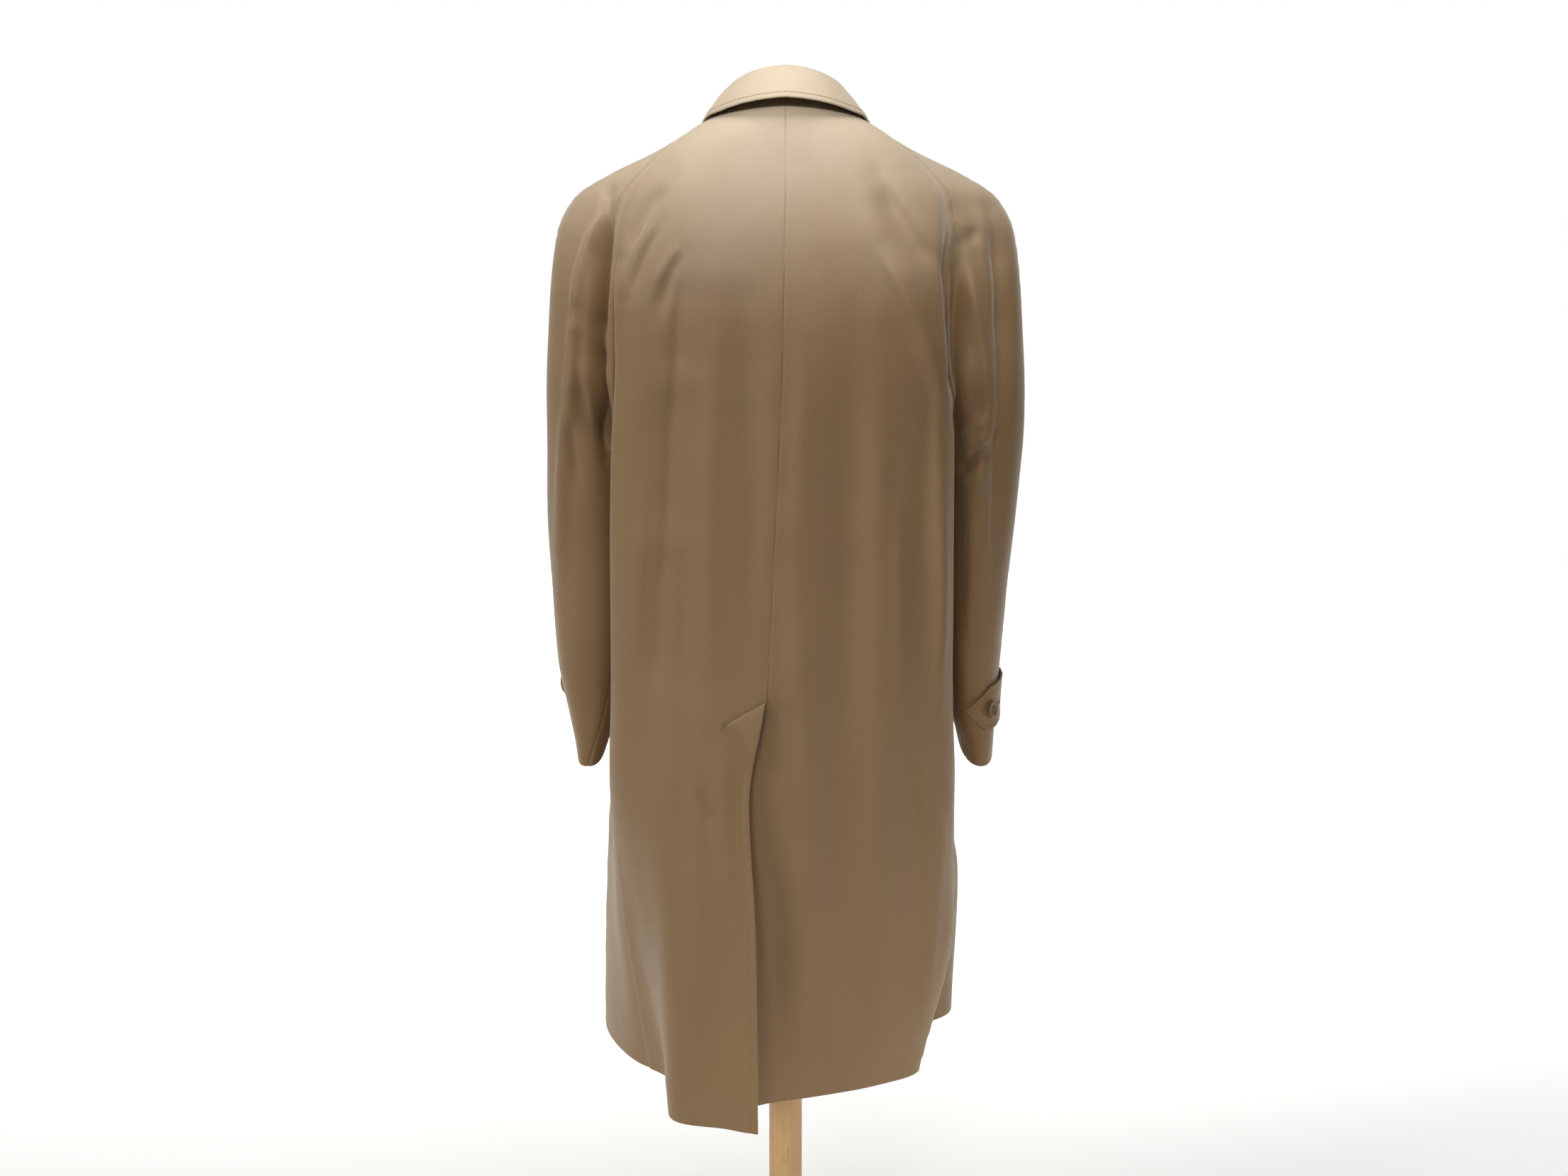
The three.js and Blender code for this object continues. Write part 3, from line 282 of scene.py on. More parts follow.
SLEEVE_FRONT_CREASES = table(CREASE, [
    [220, 1400, 236, 1180, 4, 10, 12, -2.6],
    [-222, 1396, -236, 1176, -4, 12, 10, -2.6],
    [196, 1110, 244, 1070, 5, 9, 9, -3.0],
    [-196, 1100, -244, 1064, 5, 9, 9, -3.0],
    [206, 1040, 246, 1016, -4, 8, 9, -2.2],
    [-206, 1036, -242, 1010, -4, 8, 9, -2.2],
])


# ---------------------------------------------------------------- small helpers
def smooth(t):
    c = np.clip(t, 0.0, 1.0)
    return c * c * (3 - 2 * c)


def hermite(a, b, ta, tb, t):
    t2 = t * t
    t3 = t2 * t
    return a * (2 * t3 - 3 * t2 + 1) + ta * (t3 - 2 * t2 + t) + b * (3 * t2 - 2 * t3) + tb * (t3 - t2)


def at(columns, name, z):
    """A column of a table at the heights z: a cubic through the rows that never swings past them."""
    x, y = columns["z"], columns[name]
    z = np.clip(z, x[0], x[-1])
    gap = np.diff(x)
    step = np.diff(y) / gap
    slope = np.empty_like(y)
    slope[0], slope[-1] = step[0], step[-1]
    both = step[:-1] * step[1:]
    total = np.where(both > 0, step[:-1] + step[1:], 1.0)
    slope[1:-1] = np.where(both > 0, 2 * both / total, 0.0)
    i = np.clip(np.searchsorted(x, z, side="right") - 1, 0, len(x) - 2)
    return hermite(y[i], y[i + 1], slope[i] * gap[i], slope[i + 1] * gap[i], (z - x[i]) / gap[i])


def mirror_of(side):
    return 1.0 if side == "left" else -1.0


def other(side):
    return "right" if side == "left" else "left"


def unit(v):
    return v / np.maximum(np.linalg.norm(v, axis=-1, keepdims=True), 1e-12)


def bezier(a, b, c, d, t):
    s = 1 - t
    return a * s ** 3 + 3 * b * s * s * t + 3 * c * s * t * t + d * t ** 3


def crease_depth(points, rows):
    """How far the creases of a table push out the cloth at these points."""
    x, z = points[..., 0], points[..., 2]
    depth = np.zeros(x.shape)
    for k in range(len(rows["x0"])):
        x0, z0, x1, z1, bend, near, far, deep = (rows[name][k] for name in CREASE)
        length = math.hypot(x1 - x0, z0 - z1)
        down = ((x - x0) * (x1 - x0) + (z - z0) * (z1 - z0)) / length ** 2
        t = np.clip(down, 0, 1)
        away = ((x - x0) * (z0 - z1) + (z - z0) * (x1 - x0)) / length - bend * 4 * t * (1 - t)
        width = np.where(away > 0, far, near)
        past = (down - t) * length
        taper = 0.3 + 0.7 * smooth(t / 0.3) * smooth((1 - t) / 0.3)
        depth += deep * taper * np.exp(-(away / width) ** 2 - (past / (1.6 * near)) ** 2)
    return depth


def facet_depth(point):
    """The cloth below the vent's bar of stitches, standing out and tipped up, with a puff beside the edge."""
    x, z = point[..., 0], point[..., 2]
    (x0, z0), (x1, z1) = BAR
    length = math.hypot(x1 - x0, z1 - z0)
    along = ((x - x0) * (x1 - x0) + (z - z0) * (z1 - z0)) / length ** 2
    below = ((z0 - z) * (x1 - x0) + (x - x0) * (z1 - z0)) / length
    inside = smooth(below / 1.2) * np.exp(-(np.maximum(below, 0) / 62) ** 2)
    side = smooth((1.08 - along) / 0.25) * smooth((along + 0.4) / 0.3)
    ledge = 1.0 + 5.5 * (1 - np.exp(-np.maximum(below, 0) / 22))
    puff = 1.6 * np.exp(-((x - 34) / 9) ** 2 - ((z - 824) / 15) ** 2)
    dip = -0.8 * np.exp(-(below / 1.3) ** 2) * smooth((1.03 - along) / 0.05) * smooth((along + 0.02) / 0.02)
    return ledge * inside * side + puff + dip


# ---------------------------------------------------------------- the body surface
KEY_U = np.array([0, 1, 1.5, 2, 3, 4.0])


def section_point(side, u, z):
    """X (away from the centre line) and Y of the plain section at u, from 0 centre back to 4 centre front."""
    columns = SECTIONS[side]
    kx = np.stack([at(columns, name, z) for name in ("backX", "wingX", "tuckX", "sideX", "foreX")]
                  + [np.zeros_like(z)])
    ky = np.stack([at(columns, name, z) for name in ("back", "wingY", "tuckY", "sideY", "foreY", "front")])
    span = np.hypot(np.diff(kx, axis=0), np.diff(ky, axis=0))
    i = np.clip(np.searchsorted(KEY_U, u, side="right") - 1, 0, 4)
    t = (u - KEY_U[i]) / (KEY_U[i + 1] - KEY_U[i])

    def pick(values, index):
        return np.take_along_axis(values, index[None], 0)[0]

    def through(keys, first, last):
        rate = np.diff(keys, axis=0) / span
        tangent = np.empty_like(keys)
        tangent[0], tangent[-1] = first, last
        tangent[1:-1] = (rate[:-1] * span[1:] + rate[1:] * span[:-1]) / (span[:-1] + span[1:])
        own = pick(span, i)
        leaving, arriving = pick(tangent, i) * own, pick(tangent, i + 1) * own
        return hermite(pick(keys, i), pick(keys, i + 1), leaving, arriving, t)

    return through(kx, 1.0, -1.0), through(ky, at(columns, "slope", z), 0.0)


def plain_body(side, u, z):
    """The body before folds and laps. u under 0 runs straight on past the centre back."""
    u, z = np.broadcast_arrays(np.asarray(u, float), np.asarray(z, float))
    columns = SECTIONS[side]
    w = np.maximum(0, u)
    past = np.minimum(0, u) * VENT_UNDERLAP
    x, y = section_point(side, w, z)
    lift = np.where(w < 2, at(columns, "rise", z) * (0.5 + 0.5 * np.cos(math.pi * w / 2)), 0)
    drop = np.where(w > 2, at(columns, "dip", z) * (0.5 - 0.5 * np.cos(math.pi * (w - 2) / 2)), 0)
    return np.stack([mirror_of(side) * (x + past), y + at(columns, "slope", z) * past, z + lift - drop], -1)


def normal_of(surface, along, z, sense):
    across = surface(along + 0.01, z) - surface(along - 0.01, z)
    up = surface(along, z + 1.5) - surface(along, z - 1.5)
    return unit(np.cross(across, up) * sense)


def fold_depth(side, u, z):
    per_unit = np.where((u < 1) | (u > 3), 150.0, 105.0)
    folds = FOLDS[side]
    depth = np.zeros(np.shape(z))
    for k in range(len(folds["width"])):
        share = (z - HEM_Z) / (folds["head"][k] - HEM_Z)
        crest = folds["footU"][k] + (folds["headU"][k] - folds["footU"][k]) * share
        away = (u - crest) * per_unit / folds["width"][k]
        depth = depth + folds["depth"][k] * np.exp(-away * away) * (1 - smooth(share))
    return depth


def lap_depth(u, x, z):
    front = LAP_GAP * (1 - smooth((x - FRONT_LAP - 8) / 40))
    in_vent = smooth((VENT_TOP_Z - z) / (VENT_TOP_Z - UNDERLAP_TOP_Z))
    return np.where(u > 2, front, LAP_GAP * in_vent * (1 - smooth((x + 30) / 60)))


def body_point(side, u, z, under=None):
    """The coat's body with its folds, laps and creases. u over 4 runs on past the centre front."""
    if under is None:
        under = side == "right"
    u, z = np.broadcast_arrays(np.asarray(u, float), np.asarray(z, float))
    if np.any(u > 4):
        near = body_point(side, np.minimum(u, 4), z, under)
        far = body_point(other(side), np.minimum(8 - u, 4), z, under)
        return np.where((u > 4)[..., None], far, near)
    w = np.maximum(0, u)
    point = plain_body(side, u, z)
    depth = fold_depth(side, w, z) * smooth(w / 0.3) * smooth((4 - w) / 0.4)
    depth = depth + crease_depth(point, BACK_CREASES) * smooth(w / 0.12) * smooth((1.7 - w) / 0.3)
    depth = depth + crease_depth(point, FRONT_CREASES) * smooth((4 - w) / 0.12) * smooth((w - 2.3) / 0.3)
    if under:
        depth = depth - lap_depth(w, mirror_of(side) * point[..., 0], z)
    inside = np.clip(w, 0.015, 3.985)
    normal = normal_of(lambda a, h: plain_body(side, a, h), inside, z, -mirror_of(side))
    middle = (w > 3.98)[..., None]
    normal = np.where(middle, unit(normal * np.array([0.0, 1, 1])), normal)
    return point + normal * depth[..., None]


# Rows over the underarm, with the u of the back raglan seam on each.
ROUND = [math.pi / 2 * t for t in np.linspace(0, 1, 27)[1:]]
ROUND_ROWS = [(UNDERARM_Z + ARMHOLE_RISE * (1 - math.cos(a)), 2 - math.sin(a)) for a in ROUND]
NECK_ROWS = [(z, 1.0) for z in np.linspace(UNDERARM_Z + ARMHOLE_RISE, NECK_SIDE_Z, 66)[1:]]


def rows_from(lowest, step, close=()):
    """(heights, seam places) from a hem up to the neck, closer at the hem and between the close heights."""
    count = int((UNDERARM_Z - lowest - 8) / step)
    below = [lowest, lowest + 0.8, lowest + 2, lowest + 4.5]
    below += list(np.linspace(lowest + 8, UNDERARM_Z, count))
    if close:
        fine = list(np.arange(close[0], close[1], 1.3))
        below = sorted([z for z in below if not close[0] - 1 < z < close[1] + 1] + fine)
    rows = [(z, 2.0) for z in below] + ROUND_ROWS + NECK_ROWS
    return np.array([row[0] for row in rows]), np.array([row[1] for row in rows])


# ---------------------------------------------------------------- the sleeve surface
def ring_half(side, way, z, t):
    """One half of a ring below the underarm, t = 0 at the inner side and 1 at the outer side."""
    ring = RINGS[side]
    m = mirror_of(side)
    inner, outer = at(ring, "innerX", z), at(ring, "outerX", z)
    middle, reach = at(ring, "middleY", z), at(ring, "reach", z)
    x = bezier(inner, inner, outer, outer, t)
    y = middle + way * reach * 4 * t * (1 - t)
    c, s = np.cos(math.pi * t), np.clip(np.sin(math.pi * t), 0, 1)
    share = 0.5 + 0.5 * np.sign(c) * np.abs(c) ** CUFF_SQUARE[side]
    square_x = outer + (inner - outer) * share
    square_y = middle + way * reach * s ** CUFF_SQUARE[side]
    mix = smooth((1100 - z) / 280)
    x, y = x + (square_x - x) * mix, y + (square_y - y) * mix
    return np.stack([m * x, y, z - at(ring, "tilt", z) * (y - middle)], -1)


def shoulder_half(side, way, z, seam, t, plain):
    """One half of a row over the underarm, t = 0 at the raglan seam and 1 on the overarm ridge."""
    surface = plain_body if plain else body_point
    start = surface(side, seam if way > 0 else 4 - seam, z)
    ridge = np.stack([mirror_of(side) * at(RIDGE, "x", z), at(RIDGE, "y", z), at(RIDGE, "height", z)], -1)
    angle = np.radians(at(RIDGE, "leave", z))
    fall = (ridge[..., 2] - start[..., 2]) / np.linalg.norm(ridge - start, axis=-1)
    leave = unit(np.stack([mirror_of(side) * np.cos(angle), way * np.sin(angle), fall], -1))
    a = start + leave * at(RIDGE, "start", z)[..., None]
    b = ridge + np.stack([np.zeros_like(z), way * at(RIDGE, "end", z), np.zeros_like(z)], -1)
    return bezier(start, a, b, ridge, t[..., None])


def plain_sleeve(side, z, seam, w, plain=True):
    """w = 0 inner side or back raglan seam, 1 overarm, 2 inner side or front raglan seam."""
    z, seam, w = np.broadcast_arrays(np.asarray(z, float), np.asarray(seam, float), np.asarray(w, float))
    made = np.empty(z.shape + (3,))
    low = z <= UNDERARM_Z
    for back in (True, False):
        for below in (True, False):
            part = ((w <= 1) | (w > 2)) if back else ((w > 1) & (w <= 2))
            part = part & (low if below else ~low)
            if not part.any():
                continue
            zz, ww, ss = z[part], w[part], seam[part]
            t = np.where(ww > 2, ww - 2, ww) if back else 2 - ww
            way = 1.0 if back else -1.0
            made[part] = ring_half(side, way, zz, t) if below else shoulder_half(side, way, zz, ss, t, plain)
    return made


def sleeve_point(side, z, seam, w):
    """The sleeve with its large folds."""
    z, seam, w = np.broadcast_arrays(np.asarray(z, float), np.asarray(seam, float), np.asarray(w, float))
    point = plain_sleeve(side, z, seam, w, False)
    folds = SLEEVE_FOLDS[side]
    depth = np.zeros(z.shape)
    for k in range(len(folds["turn"])):
        turn = w - folds["turn"][k] - folds["lean"][k] * (z - folds["z"][k])
        round_ = np.where(turn > 1, turn - 2, turn) * 155 / folds["width"][k]
        along = (z - folds["z"][k]) / folds["tall"][k]
        depth = depth + folds["depth"][k] * np.exp(-round_ ** 2 - along ** 2)
    above = z > UNDERARM_Z
    fade = np.where(above, smooth(w / 0.12) * smooth((2 - w) / 0.12), 1.0)
    ahead = plain_sleeve(side, z, seam, np.minimum(2.99, w + 0.01))
    before = plain_sleeve(side, z, seam, np.maximum(0, w - 0.01))
    outward = unit(np.cross(ahead - before, np.array([0, 0, -mirror_of(side)])))
    return point + outward * (depth * fade)[..., None]


# ---------------------------------------------------------------- grids
def arc_along(grid):
    steps = np.linalg.norm(np.diff(grid, axis=1), axis=-1)
    return np.concatenate([np.zeros((grid.shape[0], 1)), np.cumsum(steps, axis=1)], axis=1)


def length_along(line):
    """Distance of each point of a line from its first."""
    return np.concatenate([[0], np.cumsum(np.linalg.norm(np.diff(line, axis=0), axis=-1))])


def spread(surface, start, end, first, last, count):
    """Places along each row, so that columns lie at set distances from both edges and evenly between them."""
    share = np.linspace(0, 1, 90)
    dense = start[:, None] + (end - start)[:, None] * share
    arc = arc_along(surface(dense))
    places = np.empty((len(start), len(first) + count + len(last)))
    for j, line in enumerate(arc):
        total = line[-1]
        edge = min(1.0, 0.42 * total / max(first[-1] + last[-1], 1e-6))
        a, b = np.array(first) * edge, total - np.array(last)[::-1] * edge
        middle = np.linspace(a[-1], b[0], count + 2)[1:-1]
        places[j] = np.interp(np.concatenate([a, middle, b]), line, dense[j])
    return places


def grid_normals(grid):
    along = np.gradient(grid, axis=1)
    up = np.gradient(grid, axis=0)
    return unit(np.cross(along, up))


STITCHED = [0, 0.7, 1.5, 3, 5, 7, 8.5, 10, 12, 15]
PLAIN = [0, 0.7, 1.6, 3.2, 6]
AT_VENT = [0, 0.7, 1.6, 3.2, 5, 6.5, 7.5, 8.5, 10, 12] + [14.5 + 2.5 * k for k in range(14)]


def seam_dip(distance, depth, width=1.5):
    return -depth * np.exp(-(distance / width) ** 2)


def seam_wave(z, distance, size, pitch, reach=12, start=0.0):
    """Slow waves beside a seam, running down its length."""
    return size * np.sin(z[:, None] / pitch + start) * np.exp(-(distance / reach) ** 2)


def stitched_band(distance, line):
    """Cloth over a seam allowance: raised up to the stitch line, pressed in along it."""
    raised = BAND_HEIGHT * smooth(distance / 2.5) * (1 - smooth((distance - line) / 2.0))
    return raised - 0.5 * np.exp(-((distance - line) / 1.1) ** 2)


def pucker(distance, arc, line, size=0.22, seed=0.0):
    """The small waves that a stitch line draws into the cloth."""
    wave = np.sin(arc / 2.9 + 1.7 * np.sin(arc / 23.0 + seed)) + 0.6 * np.sin(arc / 1.87 + seed)
    return size * wave * np.exp(-((distance - line) / 7.0) ** 2)


# ---------------------------------------------------------------- meshes
def shell(name, grid, normals, thickness, present=None):
    """A thin closed shell of the coat's cloth. The grid is its outer face, its rim is rounded, and its UV map
    holds distances in metres."""
    rows, columns = grid.shape[:2]
    if present is None:
        present = np.ones((rows, columns), bool)
    cells = present[:-1, :-1] & present[1:, :-1] & present[:-1, 1:] & present[1:, 1:]
    used = np.zeros((rows, columns), bool)
    for dj in (0, 1):
        for di in (0, 1):
            used[dj:rows - 1 + dj, di:columns - 1 + di] |= cells
    ids = np.full((rows, columns), -1)
    ids[used] = np.arange(used.sum())
    outer, n = grid[used], normals[used]
    inner = outer - n * thickness
    count = len(outer)
    j, i = np.nonzero(cells)
    quads = np.stack([ids[j, i], ids[j, i + 1], ids[j + 1, i + 1], ids[j + 1, i]], -1)
    padded = np.zeros((rows + 1, columns + 1), bool)
    padded[1:-1, 1:-1] = cells
    rims = []
    sides = ((-1, 0, (0, 0), (0, 1)), (0, 1, (0, 1), (1, 1)), (1, 0, (1, 1), (1, 0)), (0, -1, (1, 0), (0, 0)))
    for dj, di, p, q in sides:
        free = ~padded[j + 1 + dj, i + 1 + di]
        rims.append(np.stack([ids[j[free] + p[0], i[free] + p[1]], ids[j[free] + q[0], i[free] + q[1]]], -1))
    rim = np.concatenate(rims)
    outward = np.zeros((count, 3))
    push = unit(np.cross(outer[rim[:, 1]] - outer[rim[:, 0]], n[rim[:, 0]]))
    np.add.at(outward, rim[:, 0], push)
    np.add.at(outward, rim[:, 1], push)
    edge_ids = np.unique(rim)
    middle_of = np.full(count, -1)
    middle_of[edge_ids] = 2 * count + np.arange(len(edge_ids))
    middle = outer[edge_ids] - n[edge_ids] * thickness * 0.5 + unit(outward[edge_ids]) * thickness * RIM_ROUND
    verts = np.concatenate([outer, inner, middle]) * MM
    p, q = rim[:, 0], rim[:, 1]
    faces = np.concatenate([
        quads, quads[:, ::-1] + count,
        np.stack([q, p, middle_of[p], middle_of[q]], -1),
        np.stack([middle_of[q], middle_of[p], p + count, q + count], -1),
    ])
    arc = arc_along(grid)
    across = arc - arc[:, [arc.shape[1] // 2]]
    tall = length_along(grid[:, columns // 2])
    uv = np.stack([across[used], np.broadcast_to(tall[:, None], used.shape)[used]], -1) * MM
    uv = np.concatenate([uv, uv, uv[edge_ids]])
    return make_mesh(name, verts, faces, GABARDINE, uv)


def plain_mesh(name, verts, faces, edges=()):
    mesh = bpy.data.meshes.new(name)
    mesh.from_pydata(verts, edges, faces)
    return mesh


def tube_faces(rings, around, first=0):
    """Quads between rings of points that follow one another."""
    faces = []
    for low in range(first, first + (rings - 1) * around, around):
        high = low + around
        faces += [[low + a, low + (a + 1) % around, high + (a + 1) % around, high + a] for a in range(around)]
    return faces


def tube_ends(rings, around):
    return [list(range(around))[::-1], [(rings - 1) * around + a for a in range(around)]]


def add_piece(name, mesh, smooth_faces=True):
    """A mesh as an object in the scene, shaded smooth."""
    piece = bpy.data.objects.new(name, mesh)
    scene.collection.objects.link(piece)
    if smooth_faces:
        for polygon in mesh.polygons:
            polygon.use_smooth = True
    return piece


def as_mesh(source):
    """The plain mesh that an object's modifiers or curve make."""
    graph = bpy.context.evaluated_depsgraph_get()
    return bpy.data.meshes.new_from_object(source.evaluated_get(graph), depsgraph=graph)


def make_mesh(name, verts, faces, material, uv=None):
    mesh = bpy.data.meshes.new(name)
    mesh.from_pydata(np.asarray(verts).tolist(), [], np.asarray(faces).tolist())
    mesh.update()
    if uv is not None:
        layer = mesh.uv_layers.new(name="cloth")
        loops = np.empty(len(mesh.loops), np.int32)
        mesh.loops.foreach_get("vertex_index", loops)
        layer.data.foreach_set("uv", uv[loops].ravel())
    mesh.materials.append(material)
    return add_piece(name, mesh)


# ---------------------------------------------------------------- materials
def srgb(r, g, b):
    """A colour as seen, 0 to 255, in linear light."""
    def one(c):
        c /= 255.0
        return c / 12.92 if c <= 0.04045 else ((c + 0.055) / 1.055) ** 2.4
    return (one(r), one(g), one(b), 1.0)


class Nodes:
    """A small helper that adds shader nodes and links them."""

    def __init__(self, name):
        self.material = bpy.data.materials.new(name)
        self.material.use_nodes = True
        self.tree = self.material.node_tree
        self.shader = self.tree.nodes["Principled BSDF"]
        self.coords = self.tree.nodes.new("ShaderNodeTexCoord")

    def put(self, kind, inputs=None, **settings):
        node = self.tree.nodes.new(kind)
        for key, value in settings.items():
            setattr(node, key, value)
        return self.feed(node, inputs or {})

    def feed(self, node, inputs):
        """Links a socket to an input, or puts a constant on it."""
        for key, value in inputs.items():
            if isinstance(value, bpy.types.NodeSocket):
                self.tree.links.new(value, node.inputs[key])
            else:
                node.inputs[key].default_value = value
        return node

    def surface(self, base, rest):
        """Feeds the surface shader and hands back the material."""
        self.feed(self.shader, {"Base Color": base, **rest})
        return self.material

    def noise(self, scale, detail=3.0, roughness=0.55, vector=None, stretch=None):
        vector = vector or self.coords.outputs["Object"]
        if stretch:
            vector = self.put("ShaderNodeMapping", {"Vector": vector, "Scale": stretch}).outputs[0]
        return self.put("ShaderNodeTexNoise", {"Vector": vector, "Scale": scale, "Detail": detail,
                                               "Roughness": roughness}).outputs["Fac"]

    def ramp(self, value, low, high, a=0.3, b=0.7):
        node = self.put("ShaderNodeMapRange", {"Value": value, "From Min": a, "From Max": b,
                                               "To Min": low, "To Max": high})
        return node.outputs[0]

    def math(self, operation, a, b=0.0):
        return self.put("ShaderNodeMath", {0: a, 1: b}, operation=operation).outputs[0]

    def mix(self, fac, a, b):
        return self.put("ShaderNodeMix", {0: fac, 6: a, 7: b}, data_type="RGBA").outputs[2]

    def bump(self, height, strength, distance, under=None):
        inputs = {"Height": height, "Strength": strength, "Distance": distance}
        if under is not None:
            inputs["Normal"] = under
        return self.put("ShaderNodeBump", inputs).outputs[0]


def gabardine():
    """Khaki cotton gabardine: a fine steep twill, a little uneven in colour, with a faint dry sheen and a
    painted highlight over the shoulders and collar.
    """
    n = Nodes("coat_gabardine")
    cloth = n.put("ShaderNodeUVMap", uv_map="cloth").outputs[0]
    split = n.put("ShaderNodeSeparateXYZ", {"Vector": cloth})
    u, v = split.outputs[0], split.outputs[1]
    wander = n.math("MULTIPLY", n.noise(240.0, 2.0), 0.0011)
    line = n.math("ADD", n.math("ADD", n.math("MULTIPLY", u, 0.88), n.math("MULTIPLY", v, 0.47)), wander)
    twill = n.math("SINE", n.math("MULTIPLY", line, 2 * math.pi / 0.0008))
    yarn = n.noise(1.0, 2.0, vector=cloth, stretch=(2600.0, 420.0, 1.0))
    pick = n.noise(1.0, 2.0, vector=cloth, stretch=(300.0, 2300.0, 1.0))
    weave = n.math("ADD", n.math("MULTIPLY", yarn, 0.6), n.math("MULTIPLY", pick, 0.5))
    fleck = n.ramp(weave, 0.0, 1.0, 0.42, 0.7)
    base = n.mix(fleck, srgb(137, 107, 72), srgb(157, 126, 88))
    slow = n.noise(5.5, 3.0, 0.6)
    base = n.mix(n.ramp(slow, 0.0, 0.32, 0.38, 0.68), base, srgb(140, 111, 80))
    cool = n.noise(17.0, 3.0, 0.6, stretch=(1.0, 1.0, 0.45))
    base = n.mix(n.ramp(cool, 0.0, 0.22, 0.45, 0.7), base, srgb(134, 113, 74))
    # Paler, greyer colour higher up and towards the back of the shoulders and collar, broken by a little
    # noise: a painted highlight that stands in for the lamps' light on the top of the coat.
    place = n.put("ShaderNodeSeparateXYZ", {"Vector": n.coords.outputs["Object"]}).outputs
    behind = n.math("ADD", place[2], n.math("MULTIPLY", place[1], 0.35))
    painted_top_light = n.math("ADD", behind, n.math("MULTIPLY", n.noise(9.0), 0.12))
    base = n.mix(n.ramp(painted_top_light, 0.0, 0.75, 1.39, 1.57), base, srgb(184, 170, 149))
    roughness = n.ramp(n.noise(60.0), 0.5, 0.6)
    fine = n.bump(twill, 0.22, 0.00012)
    woven = n.bump(weave, 0.35, 0.00028, fine)
    soft = n.bump(n.noise(38.0, 3.0, 0.6), 0.35, 0.0011, woven)
    slack = n.bump(n.noise(7.0, 2.0, 0.5, stretch=(1.0, 1.0, 0.35)), 0.5, 0.006, soft)
    return n.surface(base, {"Roughness": roughness, "Specular IOR Level": 0.42, "Sheen Weight": 0.45,
                            "Sheen Roughness": 0.4, "Sheen Tint": srgb(240, 232, 216), "Normal": slack})


def thread():
    n = Nodes("sewing_thread")
    base = n.mix(n.ramp(n.noise(900.0), 0, 1), srgb(120, 96, 64), srgb(140, 114, 80))
    return n.surface(base, {"Roughness": 0.62, "Sheen Weight": 0.15,
                            "Normal": n.bump(n.noise(2600.0, 2.0), 0.4, 0.0002)})


def horn():
    """Mottled brown horn, satin, as coat buttons are."""
    n = Nodes("button_horn")
    grain = n.noise(130.0, 4.0, 0.65, stretch=(1.0, 1.0, 0.4))
    base = n.mix(n.ramp(grain, 0, 1, 0.35, 0.68), srgb(112, 84, 50), srgb(160, 128, 84))
    dark = n.noise(60.0, 2.0, 0.5)
    base = n.mix(n.ramp(dark, 0, 0.7, 0.5, 0.72), base, srgb(86, 62, 38))
    return n.surface(base, {"Roughness": n.ramp(n.noise(300.0), 0.32, 0.5), "Coat Weight": 0.12,
                            "Coat Roughness": 0.3, "Normal": n.bump(grain, 0.2, 0.0004)})


def linen():
    """The form's off-white cover, a plain weave."""
    n = Nodes("form_cover_linen")
    warp = n.noise(1.0, 2.0, stretch=(2200.0, 2200.0, 260.0))
    weft = n.noise(1.0, 2.0, stretch=(240.0, 240.0, 2400.0))
    weave = n.math("ADD", n.math("MULTIPLY", warp, 0.5), n.math("MULTIPLY", weft, 0.5))
    base = n.mix(n.ramp(weave, 0, 1, 0.4, 0.62), srgb(196, 186, 164), srgb(224, 216, 198))
    base = n.mix(n.ramp(n.noise(9.0), 0, 0.3), base, srgb(204, 190, 162))
    return n.surface(base, {"Roughness": 0.88, "Sheen Weight": 0.2, "Normal": n.bump(weave, 0.5, 0.0005)})


def beech(name, along):
    """Steamed beech under clear lacquer, with its short dark flecks along the grain."""
    n = Nodes(name)
    stretch = {"z": (1.0, 1.0, 0.045), "x": (0.045, 1.0, 1.0)}[along]
    fine = {"z": (1.0, 1.0, 0.09), "x": (0.09, 1.0, 1.0)}[along]
    band = n.noise(38.0, 5.0, 0.55, stretch=stretch)
    pore = n.noise(420.0, 3.0, 0.6, stretch=fine)
    fleck = n.put("ShaderNodeTexVoronoi", {
        "Vector": n.put("ShaderNodeMapping", {"Vector": n.coords.outputs["Object"],
                                              "Scale": tuple(s * 330 for s in fine)}).outputs[0],
        "Scale": 1.0}).outputs["Distance"]
    base = n.mix(n.ramp(band, 0, 1, 0.35, 0.68), srgb(196, 153, 100), srgb(214, 173, 120))
    base = n.mix(n.ramp(pore, 0, 0.45, 0.5, 0.75), base, srgb(172, 126, 78))
    base = n.mix(n.ramp(fleck, 0.5, 0.0, 0.05, 0.22), base, srgb(146, 100, 58))
    return n.surface(base, {"Roughness": n.ramp(pore, 0.4, 0.55), "Coat Weight": 0.2, "Coat Roughness": 0.28,
                            "Normal": n.bump(pore, 0.25, 0.0003, n.bump(band, 0.2, 0.0006))})


GABARDINE = gabardine()
THREAD = thread()
HORN = horn()
LINEN = linen()
BEECH_POLE = beech("beech_pole", "z")
BEECH_BASE = beech("beech_base", "x")


def finish_piece(piece, nodes=()):
    if nodes:
        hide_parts(*nodes)
    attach(piece, "root")


def sheet_of_cloth(grid):
    """Measures a cloth piece's width and length along its own threads, and does nothing more with them."""
    width = arc_along(grid)[:, -1].max() * MM
    length = arc_along(grid.transpose(1, 0, 2))[:, -1].max() * MM


